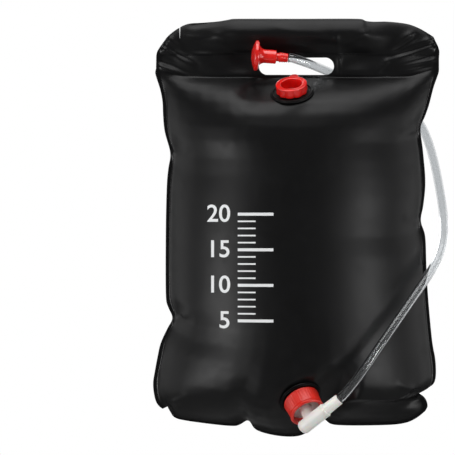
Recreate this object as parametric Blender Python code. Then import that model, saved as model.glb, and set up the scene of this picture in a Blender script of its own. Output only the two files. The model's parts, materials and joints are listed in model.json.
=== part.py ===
"""Camp shower bag, filled and hanging from the tube in its hem.

Two sheets of PVC are welded round the edge into a pillow with a handle band on top.
The filler and the outlet are moulded necks welded on the front sheet. A clear hose leaves
the outlet's elbow, passes behind the bag and comes forward through the handle slot, with the
shower head on its end. Metres, +Z up, the front towards -Y, the origin on the hem tube's axis.
"""
import math

import bmesh
import bpy
import numpy as np
from mathutils import Matrix, Vector

# Clearance between pieces that touch, the overrun of cutters, and what counts as one point
GAP = 0.0003
OVERRUN = 0.002
SAME_POINT = 0.000003

# Bag sheets
BAG_HALF_WIDTH = 0.203
BAG_HEIGHT = 0.5973
SHEET = 0.001
BULGE = 0.074
EDGE_WELD = 0.0065
BAND_DEPTH = 0.0725
COLUMNS = 18
CHAMBER_ROWS = 24

# Tube in the hem
TUBE_R = 0.010
TUBE_BORE_R = 0.008
TUBE_LENGTH = 0.160
SLEEVE_PLAY = 0.0008
SEAM_DROP = 0.0395

# Hand slot in the band
SLOT_LENGTH = 0.1074
SLOT_HEIGHT = 0.0246
SLOT_DROP = 0.0562

# Welded necks: flange, and the pillow's flat round it
FLANGE_R = 0.031
FLANGE_THICK = 0.002
FLANGE_BEAD = 0.0012
FLANGE_BEAD_INSET = 0.003
FLAT_LIP = 0.001
FLAT_MARGIN = 0.028
FLAT_FADE = 0.030

# Filler neck and cap
FILLER_NECK_R = 0.0194
FILLER_WALL = 0.0028
FILLER_NECK_HEIGHT = 0.011
FILLER_BELOW_WELD = 0.0240
FILLER_PROUD = 0.038
CAP_R = 0.02225
CAP_HEIGHT = 0.0126
CAP_TOP = 0.0025
CAP_PLAY = 0.0005
CAP_CUP_DEPTH = 0.011
CAP_CUP_WALL = 0.0013
CAP_CUP_FLOOR = 0.0016
CAP_SCALLOP = 0.0012
CAP_SCALLOPS = 10
CAP_EDGE = 0.0009
LUG_REACH = 0.0083
LUG_WIDTH = 0.0125
LUG_THICK = 0.003
GASKET = 0.0015

# Outlet neck, collar and the washer under the collar's lip
OUTLET_NECK_R = 0.0216
OUTLET_WALL = 0.0032
OUTLET_NECK_HEIGHT = 0.014
OUTLET_ABOVE_EDGE = 0.0585
OUTLET_PROUD = 0.052
COLLAR_R = 0.0256
COLLAR_HEIGHT = 0.0265
COLLAR_PLAY = 0.0005
COLLAR_LIP = 0.0025
COLLAR_OPENING_R = 0.0200
COLLAR_EDGE = 0.001
COLLAR_TOP_ROUND = 0.0015
WASHER = 0.001

# Elbow
ELBOW_DISC = 0.0025
ELBOW_STEM_R = 0.009
ELBOW_RISE = 0.045
BARREL_R = 0.010
BARREL_HEEL = 0.0210
BARREL_LENGTH = 0.0258
SOCKET_R = 0.0084
SOCKET_END_R = 0.0076
SOCKET_LENGTH = 0.0245
PASSAGE_R = 0.0048

# Hose
HOSE_R = 0.0065
HOSE_POINTS = 32
HOSE_BEVEL_STEPS = 2

# Shower head, along its axis from the hose end to the face
HEAD_COLLAR_R = 0.0072
HEAD_COLLAR_END_R = 0.0066
HEAD_COLLAR_LENGTH = 0.0127
HEAD_STEM_R = 0.0060
HEAD_STEM_REACH = 0.018
HEAD_GAP = 0.004
HEAD_PLAY = 0.0003
HEAD_PASSAGE_R = 0.003
GROOVE_DEPTH = 0.0016
GROOVE_BACK = 0.010
BELL_R = 0.0098
BELL_LENGTH = 0.0245
BELL_FLARE = 0.0095
BELL_END_R = 0.0150
BELL_SHOULDER = 0.003
BELL_WALL = 0.0022
DISC_R = 0.0218
DISC_THICK = 0.007
DISC_ROUND = 0.0018
ROSE_DOME = 0.0045
ROSE_THICK = 0.002
ROSE_SEAT = 0.002
SPRAY_HOLE_R = 0.0009
SPRAY_RING = 0.0075
SPRAY_RINGS = 2
SPRAY_PER_RING = 6

# How finely round forms are cut
ROUND = 36
SMALL_ROUND = 24
FINE_ROUND = 16
CAP_STEPS = 4
LUG_STEPS = 12
ROSE_STEPS = 3
RING_STEPS = 6
SWELL_STEPS = 4
LINE_STEPS = 12
HEEL_DEGREES = (15, 30, 45, 60, 75, 90)
SHOULDER_DEGREES = (0, 30, 60, 90)
RIM_DEGREES = (0, 45, 90)
SHARP_DEGREES = 35
SHEET_SHARP_DEGREES = 50

# Directions of the three axes, as shares of a unit length
FILLER_AXIS_SHARES = (-0.10, -0.505, 0.857)
OUTLET_AXIS_SHARES = (0.35, -0.65, -0.676)
BARREL_AXIS_SHARES = (0.754, -0.233, 0.615)
HEAD_AXIS_SHARES = (-0.995, -0.03, 0.07)

# Places along the bag, as shares of its half width
FILLER_X_SHARE = -0.038
OUTLET_X_SHARE = 0.0148
SLOT_X_SHARE = -0.0045

# Hose end at the shower head
HEAD_END = (-0.0134, -0.0225, -0.0455)

# The hose's route, from the elbow's socket to the shower head
HOSE_ROUTE = [
    (0.0720, -0.0975, -0.5130),
    (0.0870, -0.0960, -0.4910),
    (0.1090, -0.0890, -0.4590),
    (0.1300, -0.0770, -0.4300),
    (0.1510, -0.0600, -0.4015),
    (0.1720, -0.0390, -0.3730),
    (0.1930, -0.0150, -0.3460),
    (0.2080, 0.0030, -0.3190),
    (0.2130, 0.0140, -0.2900),
    (0.2100, 0.0220, -0.2560),
    (0.2040, 0.0290, -0.2200),
    (0.1975, 0.0350, -0.1850),
    (0.1870, 0.0395, -0.1500),
    (0.1690, 0.0415, -0.1190),
    (0.1400, 0.0400, -0.0960),
    (0.1050, 0.0360, -0.0820),
    (0.0740, 0.0285, -0.0735),
    (0.0500, 0.0140, -0.0655),
    (0.0290, -0.0045, -0.0575),
    (0.0100, -0.0190, -0.0500),
]

# The bag's outline: across as shares of the half width, down as shares of the height.
TOP_SHARES = [
    (-0.922, 0.047), (-0.888, 0.035), (-0.833, 0.022), (-0.768, 0.012), (-0.669, 0.0096),
    (-0.560, 0.0065), (-0.480, 0.0020), (-0.430, 0.0), (0.0, 0.0), (0.430, 0.0),
    (0.480, 0.0050), (0.540, 0.0070), (0.640, 0.0068), (0.773, 0.012), (0.850, 0.021),
    (0.905, 0.031), (0.960, 0.043),
]
LEFT_BAND_SHARES = [(-0.922, 0.047), (-0.968, 0.069), (-0.990, 0.085), (-0.993, 0.120)]
RIGHT_BAND_SHARES = [(0.960, 0.043), (1.000, 0.073), (1.000, 0.095), (1.000, 0.117)]
WELD_SHARES = [(-0.85, -0.006), (-0.70, 0.0), (0.0, 0.0), (0.70, 0.0), (0.86, -0.008)]
LEFT_SHARES = [
    (-1.000, 0.130), (-0.963, 0.170), (-0.947, 0.200), (-0.944, 0.228), (-0.932, 0.270),
    (-0.892, 0.322), (-0.906, 0.357), (-0.917, 0.400), (-0.924, 0.500), (-0.924, 0.660),
    (-0.905, 0.692), (-0.876, 0.716), (-0.911, 0.740), (-0.960, 0.776), (-0.983, 0.810),
    (-1.002, 0.845), (-1.014, 0.880), (-1.008, 0.908), (-0.970, 0.931),
]
RIGHT_SHARES = [
    (1.000, 0.127), (0.962, 0.164), (0.930, 0.206), (0.899, 0.236), (0.869, 0.262),
    (0.887, 0.316), (0.904, 0.390), (0.890, 0.446), (0.871, 0.484), (0.903, 0.521),
    (0.912, 0.600), (0.925, 0.675), (0.952, 0.772), (0.973, 0.812), (0.979, 0.845),
    (0.971, 0.869), (0.940, 0.882), (0.828, 0.886), (0.891, 0.906), (0.919, 0.924),
    (0.906, 0.938),
]
BOTTOM_SHARES = [
    (-0.970, 0.931), (-0.908, 0.929), (-0.876, 0.944), (-0.850, 0.958), (-0.658, 0.968),
    (-0.448, 0.975), (-0.388, 0.969), (-0.340, 0.960), (-0.289, 0.984), (-0.142, 0.998),
    (0.010, 0.999), (0.105, 0.982), (0.185, 0.957), (0.262, 0.972), (0.592, 0.973),
    (0.758, 0.968), (0.845, 0.955), (0.906, 0.938),
]

# How the pillow fills: the exponents of its curve across and down, and where it is full
ACROSS_POWER = 2.5
ACROSS_FULL_SHARE = 0.5
DOWN_POWER = 4.0
DOWN_FULL_SHARE = 0.24
HEM_END_SHARE = 0.36
HEM_FADE_SHARE = 0.5
FOLD_SHARE = 0.5
COLUMN_CLOSER_SHARE = 0.2
ROW_CLOSER_SHARE = 0.6

# How the cap's scallops and the bell's flare curve
SCALLOP_POWER = 0.7
SWELL_POWER = 2.2

# The handle band's rows from the top edge to the weld, as angles round the tube
TUBE_ROW_DEGREES = (90, 60, 30, 0)
BAND_ROW_SHARES = (0.29, 0.45, 0.607, 0.80)

SLEEVE_R = TUBE_R + SLEEVE_PLAY + SHEET
BAG_TOP = SLEEVE_R
FILLER_X = FILLER_X_SHARE * BAG_HALF_WIDTH
OUTLET_X = OUTLET_X_SHARE * BAG_HALF_WIDTH
SLOT_X = SLOT_X_SHARE * BAG_HALF_WIDTH


def material(name, colour, roughness, metallic=0.0, transmission=0.0):
    made = bpy.data.materials.new(name)
    made.use_nodes = True
    shader = made.node_tree.nodes["Principled BSDF"]
    shader.inputs["Base Color"].default_value = (*colour, 1.0)
    shader.inputs["Roughness"].default_value = roughness
    shader.inputs["Metallic"].default_value = metallic
    shader.inputs["Transmission Weight"].default_value = transmission
    made.diffuse_color = (*colour, 1.0)
    return made


def black_pvc(name):
    return material(name, (0.018, 0.018, 0.020), 0.33)


def red_plastic(name):
    return material(name, (0.68, 0.012, 0.008), 0.28)


def add_object(name, mesh, finish, parent=None, along=0.0):
    made = bpy.data.objects.new(name, mesh)
    bpy.context.scene.collection.objects.link(made)
    if finish:
        made.data.materials.append(finish)
    if parent:
        made.parent = parent
        made.location = (0.0, 0.0, along)
    return made


def axis_empty(name, centre, direction):
    """An empty whose local Z runs along direction, with its local Y as near to +Z as it can be."""
    along = Vector(direction).normalized()
    side = Vector((0, 0, 1)).cross(along).normalized()
    up = along.cross(side)
    turn = Matrix((side, up, along)).transposed()
    empty = bpy.data.objects.new(name, None)
    bpy.context.scene.collection.objects.link(empty)
    empty.matrix_world = Matrix.Translation(centre) @ turn.to_4x4()
    bpy.context.view_layer.update()
    return empty


def turned(name, profile, finish, parent, along=0.0, sides=ROUND, closed=True):
    """A turned piece: a profile of (radius, height) points spun round local Z."""
    shape = bmesh.new()
    ring = [shape.verts.new((r, 0.0, h)) for r, h in profile]
    edges = [shape.edges.new(pair) for pair in zip(ring, ring[1:])]
    if closed:
        edges.append(shape.edges.new((ring[-1], ring[0])))
    bmesh.ops.spin(
        shape, geom=ring + edges, axis=(0, 0, 1), cent=(0, 0, 0), angle=math.tau, steps=sides
    )
    bmesh.ops.remove_doubles(shape, verts=shape.verts, dist=SAME_POINT)
    bmesh.ops.dissolve_degenerate(shape, edges=shape.edges, dist=SAME_POINT)
    bmesh.ops.recalc_face_normals(shape, faces=shape.faces)
    mesh = bpy.data.meshes.new(name)
    shape.to_mesh(mesh)
    shape.free()
    mesh.shade_smooth()
    mesh.set_sharp_from_angle(angle=math.radians(SHARP_DEGREES))
    return add_object(name, mesh, finish, parent, along)


def cut(target, cutter, operation="DIFFERENCE"):
    cutter.hide_render = True
    cutter.display_type = "WIRE"
    change = target.modifiers.new(cutter.name, "BOOLEAN")
    change.operation = operation
    change.solver = "EXACT"
    change.object = cutter


def rod(name, radius, low, high, parent, end_radius=None, sides=SMALL_ROUND):
    """A cylinder or cone between two heights on an axis, as a cutter or a piece to join."""
    top = radius if end_radius is None else end_radius
    profile = [(0.0, low), (radius, low), (top, high), (0.0, high)]
    return turned(name, profile, None, parent, sides=sides, closed=False)


def outline_point(share):
    return np.array((share[0] * BAG_HALF_WIDTH, BAG_TOP - share[1] * BAG_HEIGHT))


def weld_ends():
    """Where the weld under the band meets the bag's two edges."""
    return outline_point(LEFT_BAND_SHARES[-1]), outline_point(RIGHT_BAND_SHARES[-1])


def weld_points():
    left, right = weld_ends()
    inner = [
        np.array((across * BAG_HALF_WIDTH, -BAND_DEPTH - down * BAG_HEIGHT))
        for across, down in WELD_SHARES
    ]
    return [left, *inner, right]


def smooth_line(points, steps=LINE_STEPS):
    """A Catmull-Rom line through the points, as many short runs."""
    run = [np.array(p, float) for p in points]
    run = [2 * run[0] - run[1], *run, 2 * run[-1] - run[-2]]
    line = []
    for a, b, c, d in zip(run, run[1:], run[2:], run[3:]):
        for step in range(steps):
            t = step / steps
            line.append(
                0.5 * (2 * b + (c - a) * t + (2 * a - 5 * b + 4 * c - d) * t**2
                       + (3 * b - a - 3 * c + d) * t**3)
            )
    line.append(run[-2])
    return np.array(line)


def at_shares(line, shares):
    """Points at the given shares of a line's length."""
    steps = np.linalg.norm(np.diff(line, axis=0), axis=1)
    length = np.concatenate(([0.0], np.cumsum(steps)))
    wanted = np.array(shares) * length[-1]
    return np.stack([np.interp(wanted, length, line[:, k]) for k in range(line.shape[1])], axis=1)


def patch(top, bottom, left, right, across, down):
    """Grid points filling four edge lines, at shares across and down."""
    t, b = at_shares(top, across), at_shares(bottom, across)
    l, r = at_shares(left, down), at_shares(right, down)
    u = np.array(across)[None, :, None]
    v = np.array(down)[:, None, None]
    corners = (1 - u) * (1 - v) * t[0] + u * (1 - v) * t[-1] + (1 - u) * v * b[0] + u * v * b[-1]
    return (1 - v) * t[None] + v * b[None] + (1 - u) * l[:, None] + u * r[:, None] - corners


def spread(count, weld_share, closer_share, both_ends=True):
    """Shares of a side, closer at its ends, with one narrow cell for each weld."""
    inner = [0.5 - 0.5 * math.cos(math.pi * k / count) for k in range(count + 1)]
    even = [k / count for k in range(count + 1)]
    mixed = [closer_share * a + (1 - closer_share) * b for a, b in zip(inner, even)]
    low = weld_share if both_ends else 0.0
    shares = [low + (1 - weld_share - low) * m for m in mixed] + [1.0]
    return [0.0, *shares] if both_ends else shares


def fullness(share, power, full_share):
    """0 at a welded end and 1 where the pillow is full."""
    near = min(share, 1 - share) / full_share
    return 1.0 if near >= 1 else 1 - (1 - max(near, 0.0)) ** power


def band_profile(z, x):
    """How far the hem stands off the middle plane: round the tube, then straight to the seam."""
    lean = math.asin(SLEEVE_R / SEAM_DROP)
    touch = -SLEEVE_R * math.sin(lean)
    if z >= touch:
        off = math.sqrt(max(SLEEVE_R**2 - z**2, 0.0))
    else:
        off = max(z + SEAM_DROP, 0.0) * math.tan(lean)
    past_tube = (abs(x) - TUBE_LENGTH / 2) / (BAG_HALF_WIDTH - TUBE_LENGTH / 2)
    past_tube = min(max(past_tube / HEM_FADE_SHARE, 0.0), 1.0)
    fade = past_tube**2 * (3 - 2 * past_tube)
    return off * (1 - (1 - HEM_END_SHARE) * fade)


def seat(x, z, proud, axis_shares):
    """A neck's seat: the centre of its flat on the front sheet's outer face, and its axis."""
    return Vector((x, -proud, z)), Vector(axis_shares).normalized()


def filler_seat():
    z = -BAND_DEPTH - FILLER_BELOW_WELD
    return seat(FILLER_X, z, FILLER_PROUD, FILLER_AXIS_SHARES)


def outlet_seat():
    z = BAG_TOP - BAG_HEIGHT + OUTLET_ABOVE_EDGE
    return seat(OUTLET_X, z, OUTLET_PROUD, OUTLET_AXIS_SHARES)


def flatten(x, z, off, seats):
    """Pulls the pillow onto the flat under each neck's flange, and lets it fall away outside it."""
    for centre, axis in seats:
        plane = centre.y - (axis.x * (x - centre.x) + axis.z * (z - centre.z)) / axis.y
        away = (Vector((x, plane, z)) - centre).length
        flat = -plane - SHEET - GAP / 2
        if away > FLANGE_R + FLAT_LIP:
            flat = min(flat, off)
        share = min(max((away - FLANGE_R - FLAT_MARGIN) / FLAT_FADE, 0.0), 1.0)
        hold = 1 - share**2 * (3 - 2 * share)
        off = (1 - hold) * off + hold * flat
    return max(off, 0.0)


def sheet_grid():
    """Rows of (x, z) over the whole bag, and how far each stands off the middle plane."""
    weld_share = EDGE_WELD / (2 * BAG_HALF_WIDTH)
    across = spread(COLUMNS, weld_share, COLUMN_CLOSER_SHARE)
    top = smooth_line([outline_point(s) for s in TOP_SHARES])
    weld = smooth_line(weld_points())
    bottom = smooth_line([outline_point(s) for s in BOTTOM_SHARES])
    left_band = smooth_line([outline_point(s) for s in LEFT_BAND_SHARES])
    right_band = smooth_line([outline_point(s) for s in RIGHT_BAND_SHARES])
    weld_left, weld_right = weld_ends()
    left = smooth_line([weld_left, *[outline_point(s) for s in LEFT_SHARES]])
    right = smooth_line([weld_right, *[outline_point(s) for s in RIGHT_SHARES]])
    tube_rows = [
        (BAG_TOP - SLEEVE_R * math.sin(math.radians(a))) / (BAG_TOP + BAND_DEPTH)
        for a in TUBE_ROW_DEGREES
    ]
    band_down = [*tube_rows, *BAND_ROW_SHARES, 1.0]
    foot_share = EDGE_WELD / (BAG_HEIGHT - BAND_DEPTH)
    chamber_down = spread(CHAMBER_ROWS, foot_share, ROW_CLOSER_SHARE, both_ends=False)
    band = patch(top, weld, left_band, right_band, across, band_down)
    chamber = patch(weld, bottom, left, right, across, chamber_down)
    rows, offs = [], []
    for down, line in zip(band_down, band):
        rows.append(line)
        height = BAG_TOP - down * (BAG_TOP + BAND_DEPTH)
        offs.append([band_profile(height, x) if down < 1 else 0.0 for x, _ in line])
    for down, line in list(zip(chamber_down, chamber))[1:]:
        rows.append(line)
        ends = fullness(min(down / (1 - foot_share), 1.0), DOWN_POWER, DOWN_FULL_SHARE)
        offs.append([
            BULGE * ends * fullness(side_share(u, weld_share), ACROSS_POWER, ACROSS_FULL_SHARE)
            for u in across
        ])
    return rows, offs


def side_share(u, weld_share):
    return (u - weld_share) / (1 - 2 * weld_share)


def sheet_object(name, forward, seats=()):
    """One welded sheet: its outer face as a grid, then its thickness inwards."""
    rows, offs = sheet_grid()
    band_rows = len(TUBE_ROW_DEGREES) + len(BAND_ROW_SHARES)
    shape = bmesh.new()
    grid = []
    for index, (line, off_line) in enumerate(zip(rows, offs)):
        made = []
        for column, ((x, z), off) in enumerate(zip(line, off_line)):
            edge = column in (0, len(line) - 1) or index == len(rows) - 1
            inside = index > band_rows and off > 0 and not edge
            if inside and seats:
                off = flatten(x, z, off, seats)
            thick = FOLD_SHARE * SHEET if index == 0 else SHEET
            made.append(shape.verts.new((x, forward * (off + thick + GAP / 2), z)))
        grid.append(made)
    outer = join_grid(shape, grid, forward)
    give_thickness(shape, grid, outer, forward)
    mesh = bpy.data.meshes.new(name)
    shape.to_mesh(mesh)
    shape.free()
    mesh.shade_smooth()
    mesh.set_sharp_from_angle(angle=math.radians(SHEET_SHARP_DEGREES))
    return add_object(name, mesh, black_pvc(name + "_pvc"))


def join_grid(shape, grid, forward):
    """Faces between the rows of a grid, turned towards the side that forward gives."""
    faces = []
    for upper, lower in zip(grid, grid[1:]):
        for a, b, c, d in zip(upper, upper[1:], lower[1:], lower):
            faces.append(shape.faces.new((a, b, c, d) if forward > 0 else (d, c, b, a)))
    return faces


def give_thickness(shape, grid, outer, forward):
    """The sheet's inner face, kept on its own side of the middle plane, and its cut edge."""
    shape.normal_update()
    inner = []
    for row in grid:
        line = []
        for vertex in row:
            place = vertex.co - SHEET * vertex.normal
            place.y = forward * max(forward * place.y, GAP / 2)
            line.append(shape.verts.new(place))
        inner.append(line)
    join_grid(shape, inner, -forward)
    for loop in (
        list(zip(grid[0], inner[0])),
        list(zip([row[-1] for row in grid], [row[-1] for row in inner])),
        list(zip(grid[-1], inner[-1]))[::-1],
        list(zip([row[0] for row in grid], [row[0] for row in inner]))[::-1],
    ):
        for (a, b), (c, d) in zip(loop, loop[1:]):
            shape.faces.new((c, a, b, d) if forward > 0 else (a, c, d, b))


def slot_cutter():
    """The hand slot: two half rounds joined by straight edges, pushed through both sheets."""
    radius = SLOT_HEIGHT / 2
    straight = SLOT_LENGTH / 2 - radius
    depth = SLEEVE_R + OVERRUN
    shape = bmesh.new()
    ring = []
    for step in range(SMALL_ROUND):
        angle = math.tau * (step + 0.5) / SMALL_ROUND
        shift = math.copysign(straight, math.cos(angle))
        x = SLOT_X + shift + radius * math.cos(angle)
        ring.append(shape.verts.new((x, -depth, radius * math.sin(angle) - SLOT_DROP)))
    face = shape.faces.new(ring)
    pushed = bmesh.ops.extrude_face_region(shape, geom=[face])
    moved = [v for v in pushed["geom"] if isinstance(v, bmesh.types.BMVert)]
    bmesh.ops.translate(shape, verts=moved, vec=(0.0, 2 * depth, 0.0))
    bmesh.ops.recalc_face_normals(shape, faces=shape.faces)
    mesh = bpy.data.meshes.new("slot_cutter")
    shape.to_mesh(mesh)
    shape.free()
    return add_object("slot_cutter", mesh, None)


def make_sheets(filler, outlet):
    front = sheet_object("front_sheet", -1.0, [filler_seat(), outlet_seat()])
    back = sheet_object("back_sheet", 1.0)
    slot = slot_cutter()
    cut(front, slot)
    cut(back, slot)
    through = FLANGE_THICK + SHEET + OVERRUN
    cut(front, rod("filler_hole", FILLER_NECK_R - FILLER_WALL, -through, through, filler))
    cut(front, rod("outlet_hole", OUTLET_NECK_R - OUTLET_WALL, -through, through, outlet))


def make_handle_tube():
    """A plain length of tube, open at both ends, for the hanging line."""
    along = axis_empty("tube_axis", (0.0, 0.0, 0.0), (1, 0, 0))
    half = TUBE_LENGTH / 2
    profile = [(TUBE_BORE_R, -half), (TUBE_R, -half), (TUBE_R, half), (TUBE_BORE_R, half)]
    finish = material("tube_plastic", (0.03, 0.03, 0.03), 0.45)
    turned("handle_tube", profile, finish, along, sides=SMALL_ROUND)


def neck_profile(neck_r, wall, height):
    """A moulded neck: flat flange with a raised weld bead near its edge, a fillet, and the tube."""
    bore = neck_r - wall
    flange_top = GAP + FLANGE_THICK
    bead = FLANGE_R - FLANGE_BEAD_INSET
    return [
        (bore, GAP), (FLANGE_R, GAP), (FLANGE_R, flange_top - FLANGE_BEAD / 2),
        (bead + FLANGE_BEAD, flange_top), (bead + FLANGE_BEAD / 2, flange_top + FLANGE_BEAD / 2),
        (bead - FLANGE_BEAD / 2, flange_top + FLANGE_BEAD / 2), (bead - FLANGE_BEAD, flange_top),
        (neck_r + FLANGE_BEAD, flange_top - FLANGE_BEAD / 2), (neck_r, flange_top), (neck_r, height),
        (bore, height),
    ]


def make_filler(axis):
    profile = neck_profile(FILLER_NECK_R, FILLER_WALL, FILLER_NECK_HEIGHT)
    turned("filler_neck", profile, black_pvc("filler_pvc"), axis)
    low = FILLER_NECK_HEIGHT + GAP
    ring = [
        (FILLER_NECK_R - FILLER_WALL, low), (FILLER_NECK_R, low),
        (FILLER_NECK_R, low + GASKET), (FILLER_NECK_R - FILLER_WALL, low + GASKET),
    ]
    turned("filler_gasket", ring, material("filler_rubber", (0.6, 0.6, 0.58), 0.6), axis)
    make_filler_cap(axis, low + GASKET + GAP)


def make_filler_cap(axis, underside):
    """The screw cap: a scalloped skirt, a flat rim and a deep cup that plugs the neck."""
    top = underside + CAP_TOP
    bottom = top - CAP_HEIGHT
    skirt_in = FILLER_NECK_R + CAP_PLAY
    plug = FILLER_NECK_R - FILLER_WALL - CAP_PLAY
    cup = plug - CAP_CUP_WALL
    floor = top - CAP_CUP_DEPTH
    profile = [
        (0.0, floor - CAP_CUP_FLOOR), (plug - CAP_EDGE, floor - CAP_CUP_FLOOR),
        (plug, floor - CAP_CUP_FLOOR + CAP_EDGE), (plug, underside), (skirt_in, underside),
        (skirt_in, bottom), (CAP_R - CAP_EDGE, bottom), (CAP_R, bottom + CAP_EDGE),
        (CAP_R, top - CAP_EDGE), (CAP_R - CAP_EDGE, top), (cup + CAP_EDGE, top),
        (cup, top - CAP_EDGE), (cup, floor), (0.0, floor),
    ]
    cap = turned("filler_cap", profile, red_plastic("cap_red"), axis,
                 sides=CAP_SCALLOPS * CAP_STEPS, closed=False)
    for vertex in cap.data.vertices:
        radius = math.hypot(vertex.co.x, vertex.co.y)
        if radius > (skirt_in + CAP_R) / 2 and vertex.co.z < top - CAP_EDGE / 2:
            turn = math.atan2(vertex.co.y, vertex.co.x)
            wave = abs(math.sin(CAP_SCALLOPS * turn / 2)) ** SCALLOP_POWER
            scale = (radius - CAP_SCALLOP * (1 - wave)) / radius
            vertex.co.x *= scale
            vertex.co.y *= scale
    join_lug(cap, axis, top)


def join_lug(cap, axis, top):
    """A rounded lug on the cap's upper edge, at the side nearest the band."""
    half = LUG_WIDTH / 2
    inner = (FILLER_NECK_R + CAP_PLAY + CAP_R) / 2
    reach = CAP_R + LUG_REACH
    shape = bmesh.new()
    ring = [shape.verts.new((half, inner, 0.0))]
    for step in range(LUG_STEPS + 1):
        angle = math.pi * step / LUG_STEPS
        outwards = reach - half * (1 - math.sin(angle))
        ring.append(shape.verts.new((half * math.cos(angle), outwards, 0.0)))
    ring.append(shape.verts.new((-half, inner, 0.0)))
    face = shape.faces.new(ring)
    pushed = bmesh.ops.extrude_face_region(shape, geom=[face])
    moved = [v for v in pushed["geom"] if isinstance(v, bmesh.types.BMVert)]
    bmesh.ops.translate(shape, verts=moved, vec=(0.0, 0.0, LUG_THICK))
    bmesh.ops.recalc_face_normals(shape, faces=shape.faces)
    mesh = bpy.data.meshes.new("cap_lug")
    shape.to_mesh(mesh)
    shape.free()
    lug = add_object("cap_lug", mesh, None, axis, top - CAP_EDGE - LUG_THICK)
    cut(cap, lug, "UNION")


def make_outlet(axis):
    """Neck, gasket, elbow disc, washer and collar, stacked along the outlet's axis."""
    profile = neck_profile(OUTLET_NECK_R, OUTLET_WALL, OUTLET_NECK_HEIGHT)
    turned("outlet_neck", profile, black_pvc("outlet_pvc"), axis)
    low = OUTLET_NECK_HEIGHT + GAP
    bore = OUTLET_NECK_R - OUTLET_WALL
    ring = [(bore, low), (OUTLET_NECK_R, low), (OUTLET_NECK_R, low + GASKET), (bore, low + GASKET)]
    turned("outlet_gasket", ring, material("outlet_rubber", (0.05, 0.05, 0.05), 0.6), axis)
    disc_low = low + GASKET + GAP
    make_elbow(axis, disc_low)
    washer_low = disc_low + ELBOW_DISC + GAP
    washer_in = ELBOW_STEM_R + COLLAR_PLAY
    ring = [
        (washer_in, washer_low), (OUTLET_NECK_R, washer_low),
        (OUTLET_NECK_R, washer_low + WASHER), (washer_in, washer_low + WASHER),
    ]
    turned("collar_washer", ring, material("washer_plastic", (0.75, 0.75, 0.72), 0.35), axis)
    make_collar(axis, washer_low + WASHER + GAP)


def make_collar(axis, lip_low):
    """The collar nut: a skirt over the neck, a lip that clamps the elbow, a raised rounded rim."""
    bottom = GAP + FLANGE_THICK + FLANGE_BEAD + GAP
    top = bottom + COLLAR_HEIGHT
    skirt_in = OUTLET_NECK_R + COLLAR_PLAY
    lip_top = lip_low + COLLAR_LIP
    rim_in = COLLAR_OPENING_R + COLLAR_EDGE / 2
    profile = [
        (skirt_in, bottom), (COLLAR_R + COLLAR_EDGE / 2, bottom),
        (COLLAR_R + COLLAR_EDGE / 2, bottom + COLLAR_EDGE),
        (COLLAR_R, bottom + COLLAR_EDGE + COLLAR_EDGE),
        (COLLAR_R - COLLAR_EDGE / 2, top - COLLAR_EDGE), (COLLAR_R - COLLAR_TOP_ROUND, top),
        (rim_in + COLLAR_EDGE, top), (rim_in, top - COLLAR_EDGE), (rim_in, lip_top),
        (COLLAR_OPENING_R, lip_top), (COLLAR_OPENING_R, lip_low), (skirt_in, lip_low),
    ]
    turned("outlet_collar", profile, red_plastic("collar_red"), axis)


def make_elbow(axis, disc_low):
    """The elbow: a clamped disc, a stem along the outlet's axis, and a side barrel and socket."""
    disc_top = disc_low + ELBOW_DISC
    profile = [
        (0.0, disc_low), (OUTLET_NECK_R - COLLAR_PLAY, disc_low),
        (OUTLET_NECK_R - COLLAR_PLAY, disc_top), (ELBOW_STEM_R, disc_top),
        (ELBOW_STEM_R, ELBOW_RISE), (0.0, ELBOW_RISE),
    ]
    white = material("elbow_nylon", (0.80, 0.79, 0.75), 0.40)
    elbow = turned("elbow", profile, white, axis, sides=SMALL_ROUND, closed=False)
    side = barrel_axis(axis)
    heel = BARREL_HEEL - BARREL_R
    rounding = [
        (BARREL_R * math.sin(math.radians(a)), -heel - BARREL_R * math.cos(math.radians(a)))
        for a in HEEL_DEGREES
    ]
    barrel_profile = [
        (0.0, -BARREL_HEEL), *rounding, (BARREL_R, BARREL_LENGTH),
        (SOCKET_R, BARREL_LENGTH), (SOCKET_END_R, BARREL_LENGTH + SOCKET_LENGTH),
        (0.0, BARREL_LENGTH + SOCKET_LENGTH),
    ]
    barrel = turned("elbow_barrel", barrel_profile, None, side, sides=SMALL_ROUND, closed=False)
    cut(elbow, barrel, "UNION")
    past_disc = disc_low - OVERRUN
    cut(elbow, rod("stem_passage", PASSAGE_R, past_disc, ELBOW_RISE, axis, sides=FINE_ROUND))
    past_socket = BARREL_LENGTH + SOCKET_LENGTH + OVERRUN
    cut(elbow, rod("barrel_passage", PASSAGE_R, -PASSAGE_R, past_socket, side, sides=FINE_ROUND))


def barrel_axis(axis):
    """The barrel's axis meets the stem's at right angles."""
    stem = axis.matrix_world.to_3x3() @ Vector((0, 0, 1))
    across = Vector(BARREL_AXIS_SHARES)
    across -= stem * across.dot(stem)
    return axis_empty("barrel_axis", axis.matrix_world.translation + stem * ELBOW_RISE, across)


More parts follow.
